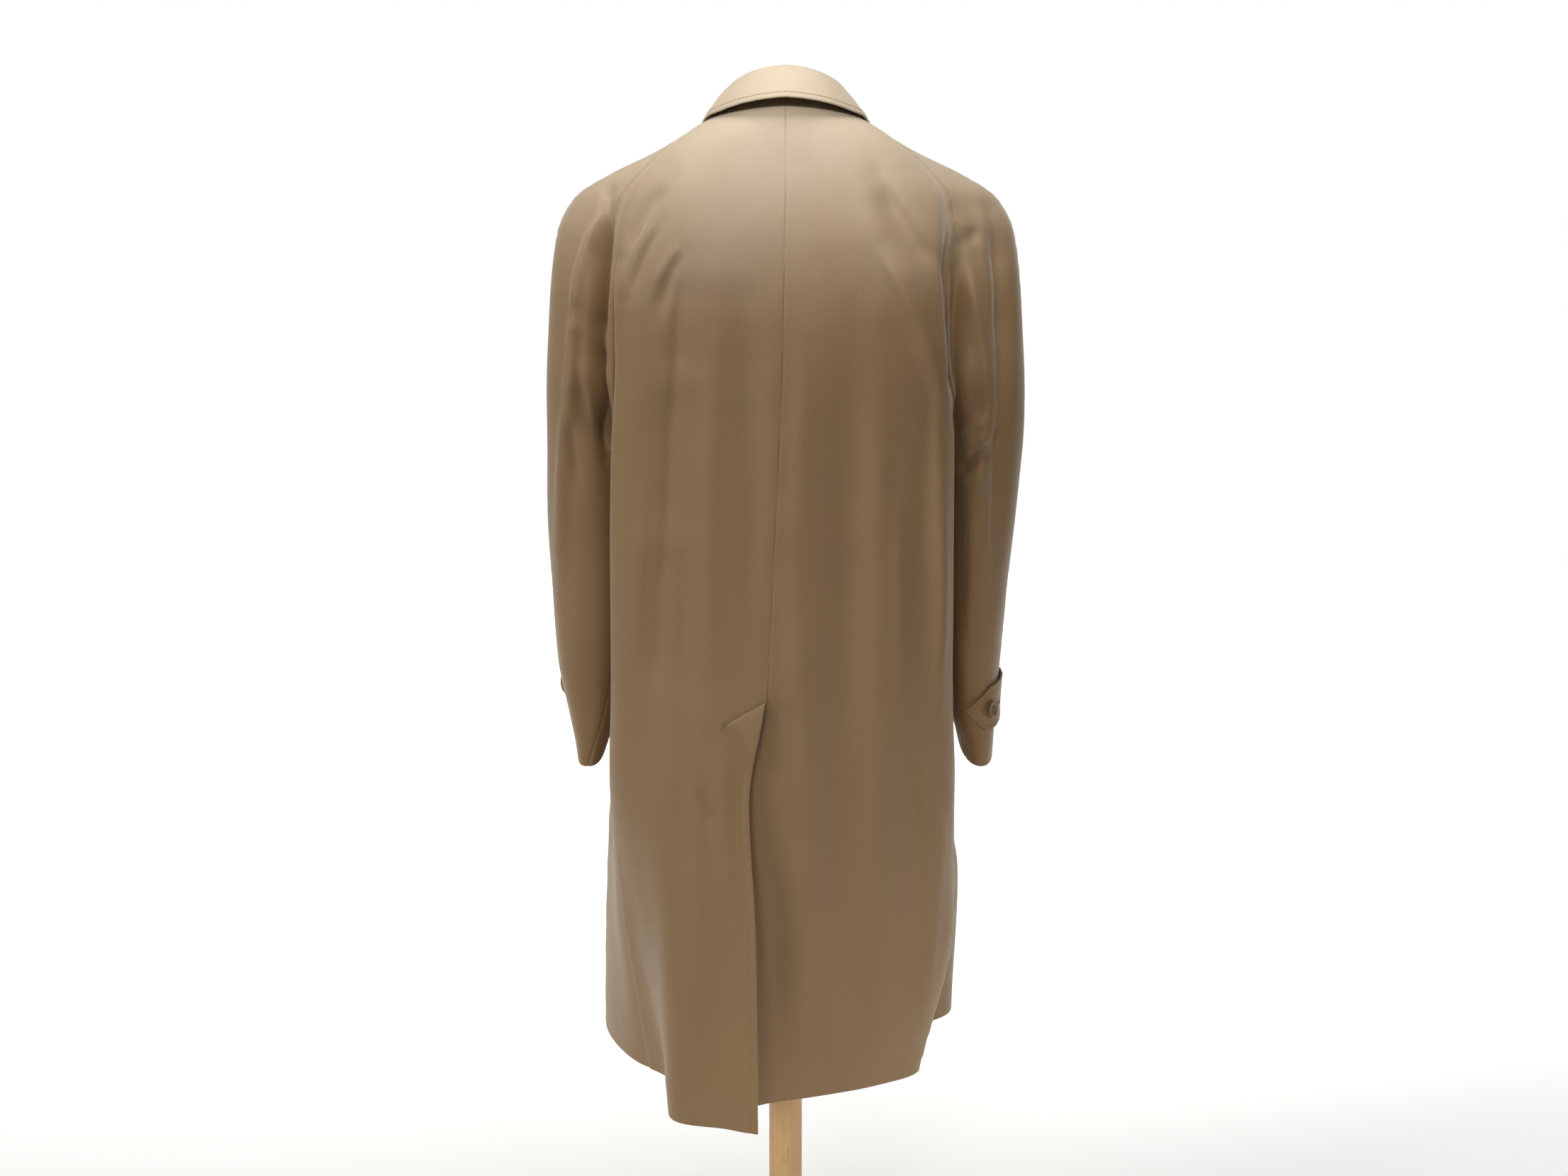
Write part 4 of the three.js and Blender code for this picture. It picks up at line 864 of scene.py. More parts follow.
# ---------------------------------------------------------------- stitches
def stitch_shape():
    """One stitch 2.5 mm long: a round thread that dips into the cloth at both ends."""
    rings, around = 7, 6
    verts = []
    for k in range(rings):
        t = k / (rings - 1)
        radius = 0.27 * math.sin(math.pi * (0.12 + 0.76 * t)) ** 0.5
        x, z = (t - 0.5) * 2.5, 0.2 * math.sin(math.pi * t) - 0.12
        for a in range(around):
            angle = 2 * math.pi * a / around
            verts.append((x, radius * math.cos(angle), z + radius * math.sin(angle)))
    faces = tube_faces(rings, around) + tube_ends(rings, around)
    mesh = plain_mesh("stitch_template", [tuple(c * MM for c in v) for v in verts], faces)
    return add_piece("stitch_template", mesh, False)


def stitch_nodes(shape):
    """Geometry Nodes: stitches one after another along edges, lying on the cloth whose normal the points
    carry."""
    tree = bpy.data.node_groups.new("stitches", "GeometryNodeTree")
    tree.interface.new_socket("Geometry", in_out="INPUT", socket_type="NodeSocketGeometry")
    pitch = tree.interface.new_socket("Pitch", in_out="INPUT", socket_type="NodeSocketFloat")
    tree.interface.new_socket("Geometry", in_out="OUTPUT", socket_type="NodeSocketGeometry")
    new = tree.nodes.new
    start, end = new("NodeGroupInput"), new("NodeGroupOutput")
    curve = new("GeometryNodeMeshToCurve")
    points = new("GeometryNodeResampleCurve")
    points.mode = "LENGTH"
    tangent, up = new("GeometryNodeInputTangent"), new("GeometryNodeInputNamedAttribute")
    up.data_type = "FLOAT_VECTOR"
    up.inputs["Name"].default_value = "up"
    first, second = new("FunctionNodeAlignRotationToVector"), new("FunctionNodeAlignRotationToVector")
    first.axis, second.axis, second.pivot_axis = "X", "Z", "X"
    info, place = new("GeometryNodeObjectInfo"), new("GeometryNodeInstanceOnPoints")
    info.inputs["Object"].default_value = shape
    real, finish = new("GeometryNodeRealizeInstances"), new("GeometryNodeSetMaterial")
    finish.inputs["Material"].default_value = THREAD
    for a, b in (
        (start.outputs[0], curve.inputs[0]), (curve.outputs[0], points.inputs["Curve"]),
        (start.outputs[1], points.inputs["Length"]), (points.outputs[0], place.inputs["Points"]),
        (info.outputs["Geometry"], place.inputs["Instance"]),
        (tangent.outputs[0], first.inputs["Vector"]), (first.outputs[0], second.inputs["Rotation"]),
        (up.outputs[0], second.inputs["Vector"]), (second.outputs[0], place.inputs["Rotation"]),
        (place.outputs[0], real.inputs[0]), (real.outputs[0], finish.inputs[0]),
        (finish.outputs[0], end.inputs[0]),
    ):
        tree.links.new(a, b)
    return tree, pitch.identifier


STITCH_SHAPE = stitch_shape()
STITCHES, PITCH = stitch_nodes(STITCH_SHAPE)


def stitch_line(name, paths, ups, pitch=3.3):
    """Rows of stitches along paths of points (mm), with the cloth's normals at them."""
    verts, edges, normals = [], [], []
    for path, up in zip(paths, ups):
        first = len(verts)
        verts += (np.asarray(path) * MM).tolist()
        normals += np.asarray(up).tolist()
        edges += [(first + k, first + k + 1) for k in range(len(path) - 1)]
    mesh = plain_mesh(name + "_path", verts, [], edges)
    attribute = mesh.attributes.new("up", "FLOAT_VECTOR", "POINT")
    attribute.data.foreach_set("vector", np.array(normals).ravel())
    path_object = add_piece(name + "_path", mesh, False)
    modifier = path_object.modifiers.new("stitches", "NODES")
    modifier.node_group = STITCHES
    modifier[PITCH] = pitch * MM
    made = as_mesh(path_object)
    made.name = name
    bpy.data.objects.remove(path_object)
    finish_piece(add_piece(name, made))


# ---------------------------------------------------------------- body panels
def distance_in(arc, from_start):
    """Distance along each row from one edge of a grid."""
    return arc if from_start else arc[:, -1:] - arc


def lay(grid, depth, flip):
    """The grid with each point moved out along its normal, and the new normals. Flipped, columns run back."""
    if flip:
        grid, depth = grid[:, ::-1], depth[:, ::-1]
    moved = grid + grid_normals(grid) * depth[..., None]
    return moved, grid_normals(moved)


def back_panel(side):
    right = side == "right"
    z, seam = rows_from(HEM_Z, 4.0, () if right else (812, 888))

    def surface(u):
        return plain_body(side, u, np.broadcast_to(z[:, None], u.shape))

    places = spread(surface, np.zeros(len(z)), seam, PLAIN if right else AT_VENT, PLAIN, 84 if right else 72)
    grid = body_point(side, places, z[:, None])
    present = np.ones(grid.shape[:2], bool)
    if right:
        under_u = np.linspace(-1, 0, FLAP_COLUMNS + 1)[:-1]
        flap = body_point(side, np.broadcast_to(under_u, (len(z), FLAP_COLUMNS)), z[:, None])
        grid = np.concatenate([flap, grid], axis=1)
        below_bar = np.broadcast_to((z <= UNDERLAP_TOP_Z)[:, None], (len(z), FLAP_COLUMNS))
        present = np.concatenate([below_bar, present], axis=1)
    arc = arc_along(grid)
    centre = arc - arc[:, [FLAP_COLUMNS]] if right else arc
    edge = distance_in(arc, False)
    above_vent = smooth((z[:, None] - VENT_TOP_Z + 6) / 12)
    depth = seam_dip(np.abs(centre), 0.4, 1.1) * above_vent
    depth += seam_dip(edge, 0.75) + seam_wave(z, edge, 0.25, 9.0) * (edge > OFF_SEAM)
    depth += seam_wave(z, centre, 0.3, 13.0, 14, 2) * above_vent * (np.abs(centre) > OFF_SEAM)
    hem = (z - HEM_Z)[:, None]
    depth += 0.5 * np.exp(-((hem - 34) / 9) ** 2) * np.sin(np.maximum(centre, 0) / 17.0)
    if side == "left":
        low = smooth((VENT_TOP_Z - 50 - z[:, None]) / 60)
        depth -= 0.6 * np.exp(-((centre - 7.5) / 1.3) ** 2) * low
        depth += 0.8 * np.exp(-((centre - 2.5) / 3.0) ** 2) * low
        depth += facet_depth(grid) * smooth((centre + 0.5) / 1.0)
    grid, normals = lay(grid, depth, side == "left")
    piece = shell(f"back_{side}_cloth", grid, normals, CLOTH, present[:, ::-1] if side == "left" else present)
    finish_piece(piece, [f"back_{side}"])
    sheet_of_cloth(grid[:, FLAP_COLUMNS:] if right else grid)
    return grid, normals


LAP_SHARES = (0.12, 0.25, 0.38, 0.5, 0.62, 0.74, 0.8, 0.86, 0.92, 0.96, 0.985, 1.0)


def front_panel(side):
    z, seam = rows_from(HEM_Z, 4.0)

    def surface(u):
        return plain_body(side, np.minimum(u, 4), np.broadcast_to(z[:, None], u.shape))

    places = spread(surface, 4 - seam, np.full(len(z), 4.0), PLAIN, [0], 92)
    probe = np.linspace(4, 4.6, 61)
    reach = np.abs(plain_body(other(side), 8 - np.broadcast_to(probe, (len(z), 61)), z[:, None])[..., 0])
    end = np.array([np.interp(FRONT_LAP, line, probe) for line in reach])
    lap = 4 + (end - 4)[:, None] * np.array(LAP_SHARES)
    panel, over = body_point(side, places, z[:, None]), body_point(side, lap, z[:, None], side == "right")
    grid = np.concatenate([panel, over], axis=1)
    top = smooth((z - NECK_SIDE_Z + 9) / 9)[:, None]
    grid[:, -len(LAP_SHARES):, 2] -= LAP_DROP * top
    arc = arc_along(grid)
    edge = distance_in(arc, False)
    depth = seam_dip(arc, 0.75) + seam_wave(z, arc, 0.25, 9.0) * (arc > OFF_SEAM)
    if side == "left":
        depth -= 0.4 * np.exp(-((edge - EDGE_STITCH) / 1.2) ** 2)
        depth += 0.35 * np.sin(z[:, None] / 7.5 + 1.5 * np.sin(z[:, None] / 61.0)) * np.exp(-(edge / 9) ** 2)
    grid, normals = lay(grid, depth, side == "left")
    piece = shell(f"front_{side}_cloth", grid, normals, CLOTH)
    finish_piece(piece, [f"front_{side}"])
    sheet_of_cloth(grid)
    return grid, normals


def on_cloth(grid, normals, x, z, lift):
    """A point lifted off a panel's cloth at x and z, and the cloth's normal there."""
    flat, up = grid.reshape(-1, 3), normals.reshape(-1, 3)
    near = np.argsort((flat[:, 0] - x) ** 2 + (flat[:, 2] - z) ** 2)[:4]
    away = np.maximum(1e-3, np.hypot(flat[near, 0] - x, flat[near, 2] - z))
    share = (1 / away) / np.sum(1 / away)
    normal = unit(share @ up[near])
    place = share @ flat[near]
    return np.array([x, place[1], z]) + normal * lift, normal


def middle_of(node):
    return np.mean([v.co[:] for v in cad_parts[node].data.vertices], axis=0) / MM


def front_buttonhole(node, grid, normals):
    """The worked edges of the buttonhole that runs inwards from under a front button."""
    middle = middle_of(node)
    rows = [[on_cloth(grid, normals, middle[0] + 1 + HOLE_LENGTH * t, middle[2] + side * HOLE_WIDTH / 2, 0.15)
             for t in np.linspace(0, 1, 14)] for side in (-1, 1)]
    paths, ups = [[np.array([step[k] for step in row]) for row in rows] for k in (0, 1)]
    stitch_line(f"buttonhole_{node[-1]}", paths, ups, HOLE_PITCH)


def tab_buttonhole(side, natural, ups):
    """The same along the middle of a cuff tab, from under its button towards the overarm seam."""
    middle = natural[TAB_MIDDLE]
    end = int(np.argmin(np.linalg.norm(middle - middle_of(f"cuff_button_{side}"), axis=1)))
    start = int(np.argmin(np.abs(np.linalg.norm(middle[:end] - middle[end], axis=1) - HOLE_LENGTH)))
    across = unit(natural[TAB_MIDDLE + 1] - natural[TAB_MIDDLE - 1])[start:end] * HOLE_WIDTH / 2
    up = ups[TAB_MIDDLE, start:end]
    paths = [middle[start:end] + across * way + up * 0.15 for way in (-1, 1)]
    stitch_line(f"tab_buttonhole_{side}", paths, [up, up], HOLE_PITCH)


def vent_bar(grid, normals):
    """The bar of stitches across the vent's top and the thread's loose end, lying on the left back."""
    (x0, z0), (x1, z1) = BAR
    steps = np.linspace(0.02, 0.98, 30)
    made = [on_cloth(grid, normals, x0 + (x1 - x0) * t, z0 + (z1 - z0) * t, 0.25) for t in steps]
    path, ups = np.array([m[0] for m in made]), np.array([m[1] for m in made])
    stitch_line("vent_bar_stitches", [path], [ups], 2.3)
    loose = [(0, 0, 0.3), (2.2, 1.4, 0.8), (4.6, 1.2, 1.2), (6.2, -1.2, 1.0), (5.4, -3.4, 0.7),
             (6.6, -5.6, 0.4), (7.6, -6.6, 0.3)]
    route = [on_cloth(grid, normals, x1 + dx, z1 + dz, lift)[0] for dx, dz, lift in loose]
    curve = bpy.data.curves.new("vent_thread_end", "CURVE")
    curve.dimensions, curve.bevel_depth, curve.bevel_resolution, curve.resolution_u = "3D", 0.32 * MM, 2, 6
    spline = curve.splines.new("POLY")
    spline.points.add(len(route) - 1)
    for point, place in zip(spline.points, route):
        point.co = (*(place * MM), 1)
    curve.use_fill_caps = True
    holder = bpy.data.objects.new("vent_thread_end_curve", curve)
    scene.collection.objects.link(holder)
    mesh = as_mesh(holder)
    bpy.data.objects.remove(holder)
    mesh.materials.clear()
    mesh.materials.append(THREAD)
    finish_piece(add_piece("vent_thread_end", mesh, False))


# ---------------------------------------------------------------- sleeves
def evened(grid, z, w, low):
    """Runs the sleeve smoothly through the height of the underarm, away from the seams that hold it."""
    reach = smooth(1 - np.abs(z - UNDERARM_Z - 6) / 90)[:, None]
    away = np.clip(np.minimum(w, 2 - w) / 0.3, 0, 1)
    hold = np.where((z > UNDERARM_Z - 1)[:, None] | (low[:, None] < 0.02), smooth(away), 1.0)
    share = reach * hold
    for _ in range(60):
        mean = grid.copy()
        mean[1:-1] = (grid[:-2] + grid[2:]) / 2
        grid = grid + (mean - grid) * 0.8 * share[..., None]
    return grid


def sleeve_panel(side, face):
    z, seam = rows_from(SLEEVE_HEM_Z, 3.6)
    below = z <= UNDERARM_Z
    under = np.where(below, at(RINGS[side], "under", z), 0.0)
    over = np.where(below, at(RINGS[side], "over", z), 0.0)
    start, end = (under, 1 + over) if face == "back" else (1 + over, 2 + under)

    def surface(w):
        return plain_sleeve(side, z[:, None], seam[:, None], w)

    places = spread(surface, start, end, STITCHED if face == "back" else PLAIN, STITCHED, 58)
    grid = sleeve_point(side, z[:, None], seam[:, None], places)
    grid = evened(grid, z, np.clip(places, 0, 2), under)
    arc = arc_along(grid)
    inner = distance_in(arc, face == "back")
    ridge = distance_in(arc, face != "back")
    tall = length_along(grid[:, 0 if face == "back" else -1])
    raglan = smooth((z - UNDERARM_Z - 2) / 10)[:, None]
    depth = seam_dip(inner, 0.75) + seam_dip(ridge, 0.7)
    creases = SLEEVE_BACK_CREASES if face == "back" else SLEEVE_FRONT_CREASES
    depth += crease_depth(grid, creases) * smooth(inner / 12) * smooth(ridge / 14)
    depth += (stitched_band(inner, RAGLAN_STITCH) + pucker(inner, tall[:, None], RAGLAN_STITCH)) * raglan
    if face == "back":
        depth += stitched_band(ridge, RAGLAN_STITCH) + pucker(ridge, tall[:, None], RAGLAN_STITCH, seed=2.0)
    depth += seam_wave(z, inner, 0.3, 11.0) * (inner > OFF_SEAM) * (1 - raglan)
    grid, normals = lay(grid, depth, side == "left")
    piece = shell(f"sleeve_{face}_{side}_cloth", grid, normals, CLOTH)
    finish_piece(piece, [f"sleeve_{face}_{side}"])
    sheet_of_cloth(grid)
    return grid, normals, z


def sleeve_stitches(side, face, grid, normals, z):
    """Topstitching beside the raglan seam, and beside the overarm seam on its back panel."""
    column = STITCHED.index(RAGLAN_STITCH)
    natural = side == "right"
    count = grid.shape[1]

    def line(k):
        k = k if natural else count - 1 - k
        return grid[:, k] + normals[:, k] * 0.12, normals[:, k]

    rows = z > UNDERARM_Z + 12
    paths, ups = [], []
    path, up = line(column if face == "back" else count - 1 - column)
    paths.append(path[rows]), ups.append(up[rows])
    if face == "back":
        path, up = line(count - 1 - column)
        paths.append(path[2:]), ups.append(up[2:])
    stitch_line(f"topstitch_{face}_{side}", paths, ups)


# ---------------------------------------------------------------- collar
def neckline_of(side):
    w = np.linspace(0, 1, 65)
    back = plain_body(side, w, np.full(65, NECK_SIDE_Z))
    middle = plain_sleeve(side, np.full(129, NECK_SIDE_Z), np.full(129, 1.0), np.linspace(0, 2, 129))
    front = plain_body(side, 3 + w, np.full(65, NECK_SIDE_Z))
    return np.concatenate([back, middle[1:], front[1:]])


def along_path(points, share):
    steps = length_along(points)
    goal = np.clip(share, 0, 1) * steps[-1]
    return np.stack([np.interp(goal, steps, points[:, k]) for k in range(3)], -1)


def collar_profile(side, s):
    """The collar's outer face, from the neck side of its stand over the fold to the edge of the fall."""
    path = neckline_of(side)
    neck = along_path(path, s)
    along = along_path(path, s + 0.03) - along_path(path, s - 0.03)
    along[:, 2] = 0
    along = unit(along)
    m = mirror_of(side)
    start = (1 - smooth(s / 0.05))[:, None]
    finish = smooth((s - 0.95) / 0.05)[:, None]
    along = unit(along * (1 - start) + np.array([m, 0, 0]) * start)
    along = unit(along * (1 - finish) + np.array([-m, 0, 0]) * finish)
    out = np.stack([-along[:, 1], along[:, 0], np.zeros(len(s))], -1) * m
    lean, top = at(COLLAR, "lean", s), at(COLLAR, "stand", s)
    centre = top - FOLD_RADIUS
    drop, reach = at(COLLAR, "drop", s), at(COLLAR, "out", s)
    slant = np.arctan2(drop, reach)
    columns = []

    def place(o, h, a=0.0):
        o, h, a = (np.broadcast_to(v, s.shape)[:, None] for v in (o, h, a))
        columns.append(neck + out * o + along * a + np.array([0, 0, 1.0]) * h)

    for t in np.linspace(0, 1, STAND_STEPS)[:-1]:
        place(-2 + (lean - FOLD_RADIUS + 2) * smooth(t), 0.4 + (centre - 0.4) * t)
    for t in np.linspace(0, 1, FOLD_STEPS):
        angle = math.pi + (math.pi * 0.5 - slant - math.pi) * t
        place(lean + FOLD_RADIUS * np.cos(angle), centre + FOLD_RADIUS * np.sin(angle))
    start_o, start_h = lean + FOLD_RADIUS * np.sin(slant), centre + FOLD_RADIUS * np.cos(slant)
    end_o, end_h = lean + reach, top - drop
    length = np.hypot(end_o - start_o, end_h - start_h)
    ends = [1 - d / length for d in (15, 12, 9, 7, 5.5, 4, 2.4, 1.2, 0.0)]
    shares = [np.full_like(length, t) for t in (0.06, 0.13, 0.21, 0.3, 0.4, 0.5)]
    knots = [np.minimum(share, 1 - 15.0 / length - 0.02 * (6 - k)) for k, share in enumerate(shares)] + ends
    for share in knots:
        swell = at(COLLAR, "bulge", s) * np.sin(math.pi * np.clip(share, 0, 1))
        place(start_o + (end_o - start_o) * share + swell * np.sin(slant),
              start_h + (end_h - start_h) * share + swell * np.cos(slant),
              -at(COLLAR, "back", s) * share)
    return np.stack(columns, 1)


def three_sides(grid, low, high, start, stop):
    """Along row low from column start, up column stop and back along row high."""
    return np.concatenate([grid[low, start:stop], grid[low:high + 1, stop], grid[high, start:stop][::-1]])


def collar():
    base = np.linspace(0, 1, 88)
    s = np.unique(np.concatenate([base, [0.99, 0.993, 0.9965]]))
    left, right = collar_profile("left", s), collar_profile("right", s)
    grid = np.concatenate([right[::-1], left[1:]])
    arc = arc_along(grid)
    edge = distance_in(arc, False)
    tall = length_along(grid[:, -1])
    from_end = np.minimum(tall, tall[-1] - tall)[:, None]
    near = np.minimum(edge, from_end)
    pressed = -0.45 * np.exp(-((near - COLLAR_STITCH) / 1.3) ** 2)
    depth = pressed + pucker(near, tall[:, None], COLLAR_STITCH, 0.16)
    on_fall = smooth((arc - 36) / 10)
    depth += 0.5 * np.sin(tall[:, None] / 19.0 + 0.6) * on_fall * smooth(edge / 20)
    grid, _ = lay(grid, depth, False)
    turned = grid[:, ::-1]
    normals = grid_normals(turned)
    piece = shell("collar_cloth", turned, normals, COLLAR_CLOTH)
    finish_piece(piece, ["collar"])
    sheet_of_cloth(grid)
    front = int(np.argmin(np.abs(tall - COLLAR_STITCH)))
    reach = (front, len(tall) - 1 - front, COLLAR_STITCH_START, grid.shape[1] - 1 - COLLAR_STITCH_EDGE)
    path, up = three_sides(grid, *reach), three_sides(normals[:, ::-1], *reach)
    stitch_line("topstitch_collar", [path + up * THREAD_LIFT], [up])


# ---------------------------------------------------------------- cuff tabs
def from_overarm(side, z, distance):
    """Points of a sleeve at the heights z, these distances from the overarm seam towards the back."""
    w = (1 + at(RINGS[side], "over", z))[..., None] - np.linspace(0, 0.9, 120)
    seam = np.full(w.shape, 2.0)
    dense = sleeve_point(side, np.broadcast_to(z[..., None], w.shape), seam, w)
    steps = np.linalg.norm(np.diff(dense, axis=-2), axis=-1)
    arc = np.concatenate([np.zeros(w.shape[:-1] + (1,)), np.cumsum(steps, axis=-1)], axis=-1)
    flat_arc, flat = arc.reshape(-1, 120), dense.reshape(-1, 120, 3)
    goal = distance.reshape(-1)
    made = [[np.interp(d, a, p[:, k]) for k in range(3)] for d, a, p in zip(goal, flat_arc, flat)]
    return np.array(made).reshape(z.shape + (3,))


def cuff_tab(side):
    hang = TAB_HANG[side]
    s = np.concatenate([np.linspace(0, 0.9, 40), [0.92, 0.94, 0.96, 0.98, 0.99, 1.0]])[None, :]
    r = np.array([-1, -0.97, -0.92, -0.86, -0.78, -0.7, -0.6, -0.45, -0.3, -0.15, 0, 0.15, 0.3, 0.45, 0.6,
                  0.7, 0.78, 0.86, 0.92, 0.97, 1])[:, None]
    distance = 1 + s * (TAB_LENGTH - TAB_POINT * np.abs(r))
    z = hang["top"] - TAB_WIDTH / 2 + r * TAB_WIDTH / 2 - TAB_SLANT * distance * 0.5
    point = from_overarm(side, z, distance)
    before = from_overarm(side, z, np.maximum(0, distance - 1.5))
    after = from_overarm(side, z, distance + 1.5)
    outward = unit(np.cross(after - before, np.array([0, 0, mirror_of(side)])))
    lift = TAB_CLOTH + hang["root"] + (hang["rise"] - 0.8 * r) * smooth(s / 0.3)
    to_side = (1 - np.abs(r)) * TAB_WIDTH / 2
    to_point = (1 - s) * (TAB_LENGTH - TAB_POINT * np.abs(r)) * 0.72
    near = np.minimum(to_side, to_point)
    waves = 0.12 * np.sin(distance / 2.1) * np.exp(-near / 6)
    lift = lift - 0.45 * np.exp(-((near - TAB_STITCH) / 1.2) ** 2) + waves
    grid = point + outward * lift[..., None]
    if side == "right":
        grid = grid[:, ::-1]
    normals = grid_normals(grid)
    piece = shell(f"cuff_tab_{side}_cloth", grid, normals, TAB_CLOTH)
    finish_piece(piece, [f"cuff_tab_{side}"])
    sheet_of_cloth(grid)
    natural = grid[:, ::-1] if side == "right" else grid
    ups = normals[:, ::-1] if side == "right" else normals
    path, up = three_sides(natural, *TAB_STITCHED), three_sides(ups, *TAB_STITCHED)
    stitch_line(f"topstitch_tab_{side}", [path + up * THREAD_LIFT], [up], 3.0)
    tab_buttonhole(side, natural, ups)


# ---------------------------------------------------------------- buttons
def button_shape():
    """A four-hole coat button: a flat rim, a rounded step and a dished middle."""
    profile = [(0.0, 0.0), (8.6, 0.0), (9.6, 0.5), (10.0, 1.4), (9.8, 2.6), (9.0, 3.3), (8.0, 3.4),
               (7.0, 3.1), (6.3, 2.6), (5.6, 2.3), (3.0, 2.15), (0.0, 2.1)]
    around = 56
    mesh = bmesh.new()
    rings = []
    for radius, height in profile:
        if radius == 0:
            rings.append([mesh.verts.new((0, 0, height * MM))])
        else:
            rings.append([mesh.verts.new((radius * MM * math.cos(2 * math.pi * a / around),
                                          radius * MM * math.sin(2 * math.pi * a / around), height * MM))
                          for a in range(around)])
    for low, high in zip(rings, rings[1:]):
        for a in range(around):
            b = (a + 1) % around
            ring = [low[a % len(low)], low[b % len(low)], high[b % len(high)], high[a % len(high)]]
            seen = list(dict.fromkeys(ring))
            if len(seen) > 2:
                mesh.faces.new(seen)
    bmesh.ops.recalc_face_normals(mesh, faces=mesh.faces)
    data = bpy.data.meshes.new("button_blank")
    mesh.to_mesh(data)
    mesh.free()
    blank = add_piece("button_blank", data, False)
    drill = bmesh.new()
    for x, y in ((2, 2), (-2, 2), (-2, -2), (2, -2)):
        made = bmesh.ops.create_cone(drill, cap_ends=True, segments=14, radius1=0.95 * MM, radius2=0.95 * MM,
                                     depth=12 * MM)
        bmesh.ops.translate(drill, verts=made["verts"], vec=(x * MM, y * MM, 0))
    cutter_data = bpy.data.meshes.new("button_drill")
    drill.to_mesh(cutter_data)
    drill.free()
    cutter = add_piece("button_drill", cutter_data, False)
    cut = blank.modifiers.new("holes", "BOOLEAN")
    cut.object, cut.solver, cut.operation = cutter, "EXACT", "DIFFERENCE"
    shape = as_mesh(blank)
    bpy.data.objects.remove(blank)
    bpy.data.objects.remove(cutter)
    return shape


def thread_cross():
    """Two parallel bars of thread between the holes, as points and faces."""
    verts, faces = [], []
    for y in (-2.0, 2.0):
        for offset in (-0.42, 0.0, 0.42):
            first = len(verts)
            steps, around = 9, 6
            for k in range(steps):
                t = k / (steps - 1)
                x, height = -2 + 4 * t, 1.2 + 1.75 * math.sin(math.pi * t) ** 0.6
                for a in range(around):
                    angle = 2 * math.pi * a / around
                    verts.append((x, y + offset + 0.24 * math.cos(angle), height + 0.24 * math.sin(angle)))
            faces += tube_faces(steps, around, first)
    return np.array(verts), faces


BUTTON = button_shape()
CROSS = thread_cross()


def sewn_button(node):
    """The button in the place of its solid, with its thread, turned as the solid is."""
    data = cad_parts[node].data
    points = np.array([v.co[:] for v in data.vertices])
    centre = points.mean(0)
    axis = np.linalg.svd(points - centre, full_matrices=False)[2][2]
    away = centre * np.array([1, 1, 0])
    if "cuff" in node:
        away = away - np.array([0.22 * np.sign(centre[0]), 0, 0])
    axis = axis if axis @ away > 0 else -axis
    foot = centre - axis * 0.0017
    side = unit(np.cross(np.array([0, 0, 1.0]), axis))
    up = np.cross(axis, side)
    turn = np.stack([side, up, axis], 1)
    verts = np.array([v.co[:] for v in BUTTON.vertices]) @ turn.T + foot
    faces = [list(p.vertices) for p in BUTTON.polygons]
    mesh = plain_mesh(node + "_piece", verts.tolist(), faces)
    mesh.materials.append(HORN)
    piece = add_piece(node + "_piece", mesh)
    mesh.set_sharp_from_angle(angle=math.radians(38))
    finish_piece(piece, [node])
    cross = CROSS[0] * MM @ turn.T + foot
    sewn = make_mesh(node + "_thread", cross, CROSS[1], THREAD)
    finish_piece(sewn)


# ---------------------------------------------------------------- form and stand
def form():
    """The dress form's padded shell: its solid's rings, rounded, under a linen cover."""
    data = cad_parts["form_torso"].data.copy()
    data.materials.clear()
    data.materials.append(LINEN)
    piece = add_piece("form_cover", data, False)
    mesh = bmesh.new()
    mesh.from_mesh(data)
    bmesh.ops.remove_doubles(mesh, verts=mesh.verts, dist=1e-6)
    bmesh.ops.join_triangles(mesh, faces=mesh.faces, angle_face_threshold=1.2, angle_shape_threshold=1.2)
    mesh.to_mesh(data)
    mesh.free()
    rounding = piece.modifiers.new("rounding", "SUBSURF")
    rounding.levels = rounding.render_levels = 2
    made = as_mesh(piece)
    piece.modifiers.clear()
    piece.data = made
    for polygon in made.polygons:
        polygon.use_smooth = True
    finish_piece(piece, ["form_torso"])


def turned(name, profile, material, around=128):
    """A solid of revolution about the pole's axis from (radius, height) pairs."""
    verts = []
    for radius, height in profile:
        for a in range(around):
            angle = 2 * math.pi * a / around
            verts.append((radius * math.cos(angle) * MM, radius * math.sin(angle) * MM, height * MM))
    faces = tube_faces(len(profile), around) + tube_ends(len(profile), around)
    mesh = plain_mesh(name, verts, faces)
    mesh.materials.append(material)
    piece = add_piece(name, mesh)
    mesh.set_sharp_from_angle(angle=math.radians(35))
    return piece


def stand():
    heights = np.linspace(BASE_THICK + 0.05, FORM_BOTTOM_Z - 0.05, 60)
    profile = [(POLE_RADIUS - 0.6, heights[0])] + [(POLE_RADIUS, h) for h in heights[1:-1]]
    profile += [(POLE_RADIUS - 0.6, heights[-1])]
    finish_piece(turned("stand_pole", profile, BEECH_POLE), ["pole"])
    rim = [(BASE_RADIUS - 3, 0), (BASE_RADIUS - 1, 0.8), (BASE_RADIUS, 3), (BASE_RADIUS, BASE_THICK - 7)]
    for k in range(1, 9):
        angle = math.pi / 2 * k / 8
        rim.append((BASE_RADIUS - 7 + 7 * math.cos(angle), BASE_THICK - 7 + 7 * math.sin(angle)))
    rim += [(150, BASE_THICK), (90, BASE_THICK), (30, BASE_THICK)]
    finish_piece(turned("stand_base", rim, BEECH_BASE, 192), ["base"])


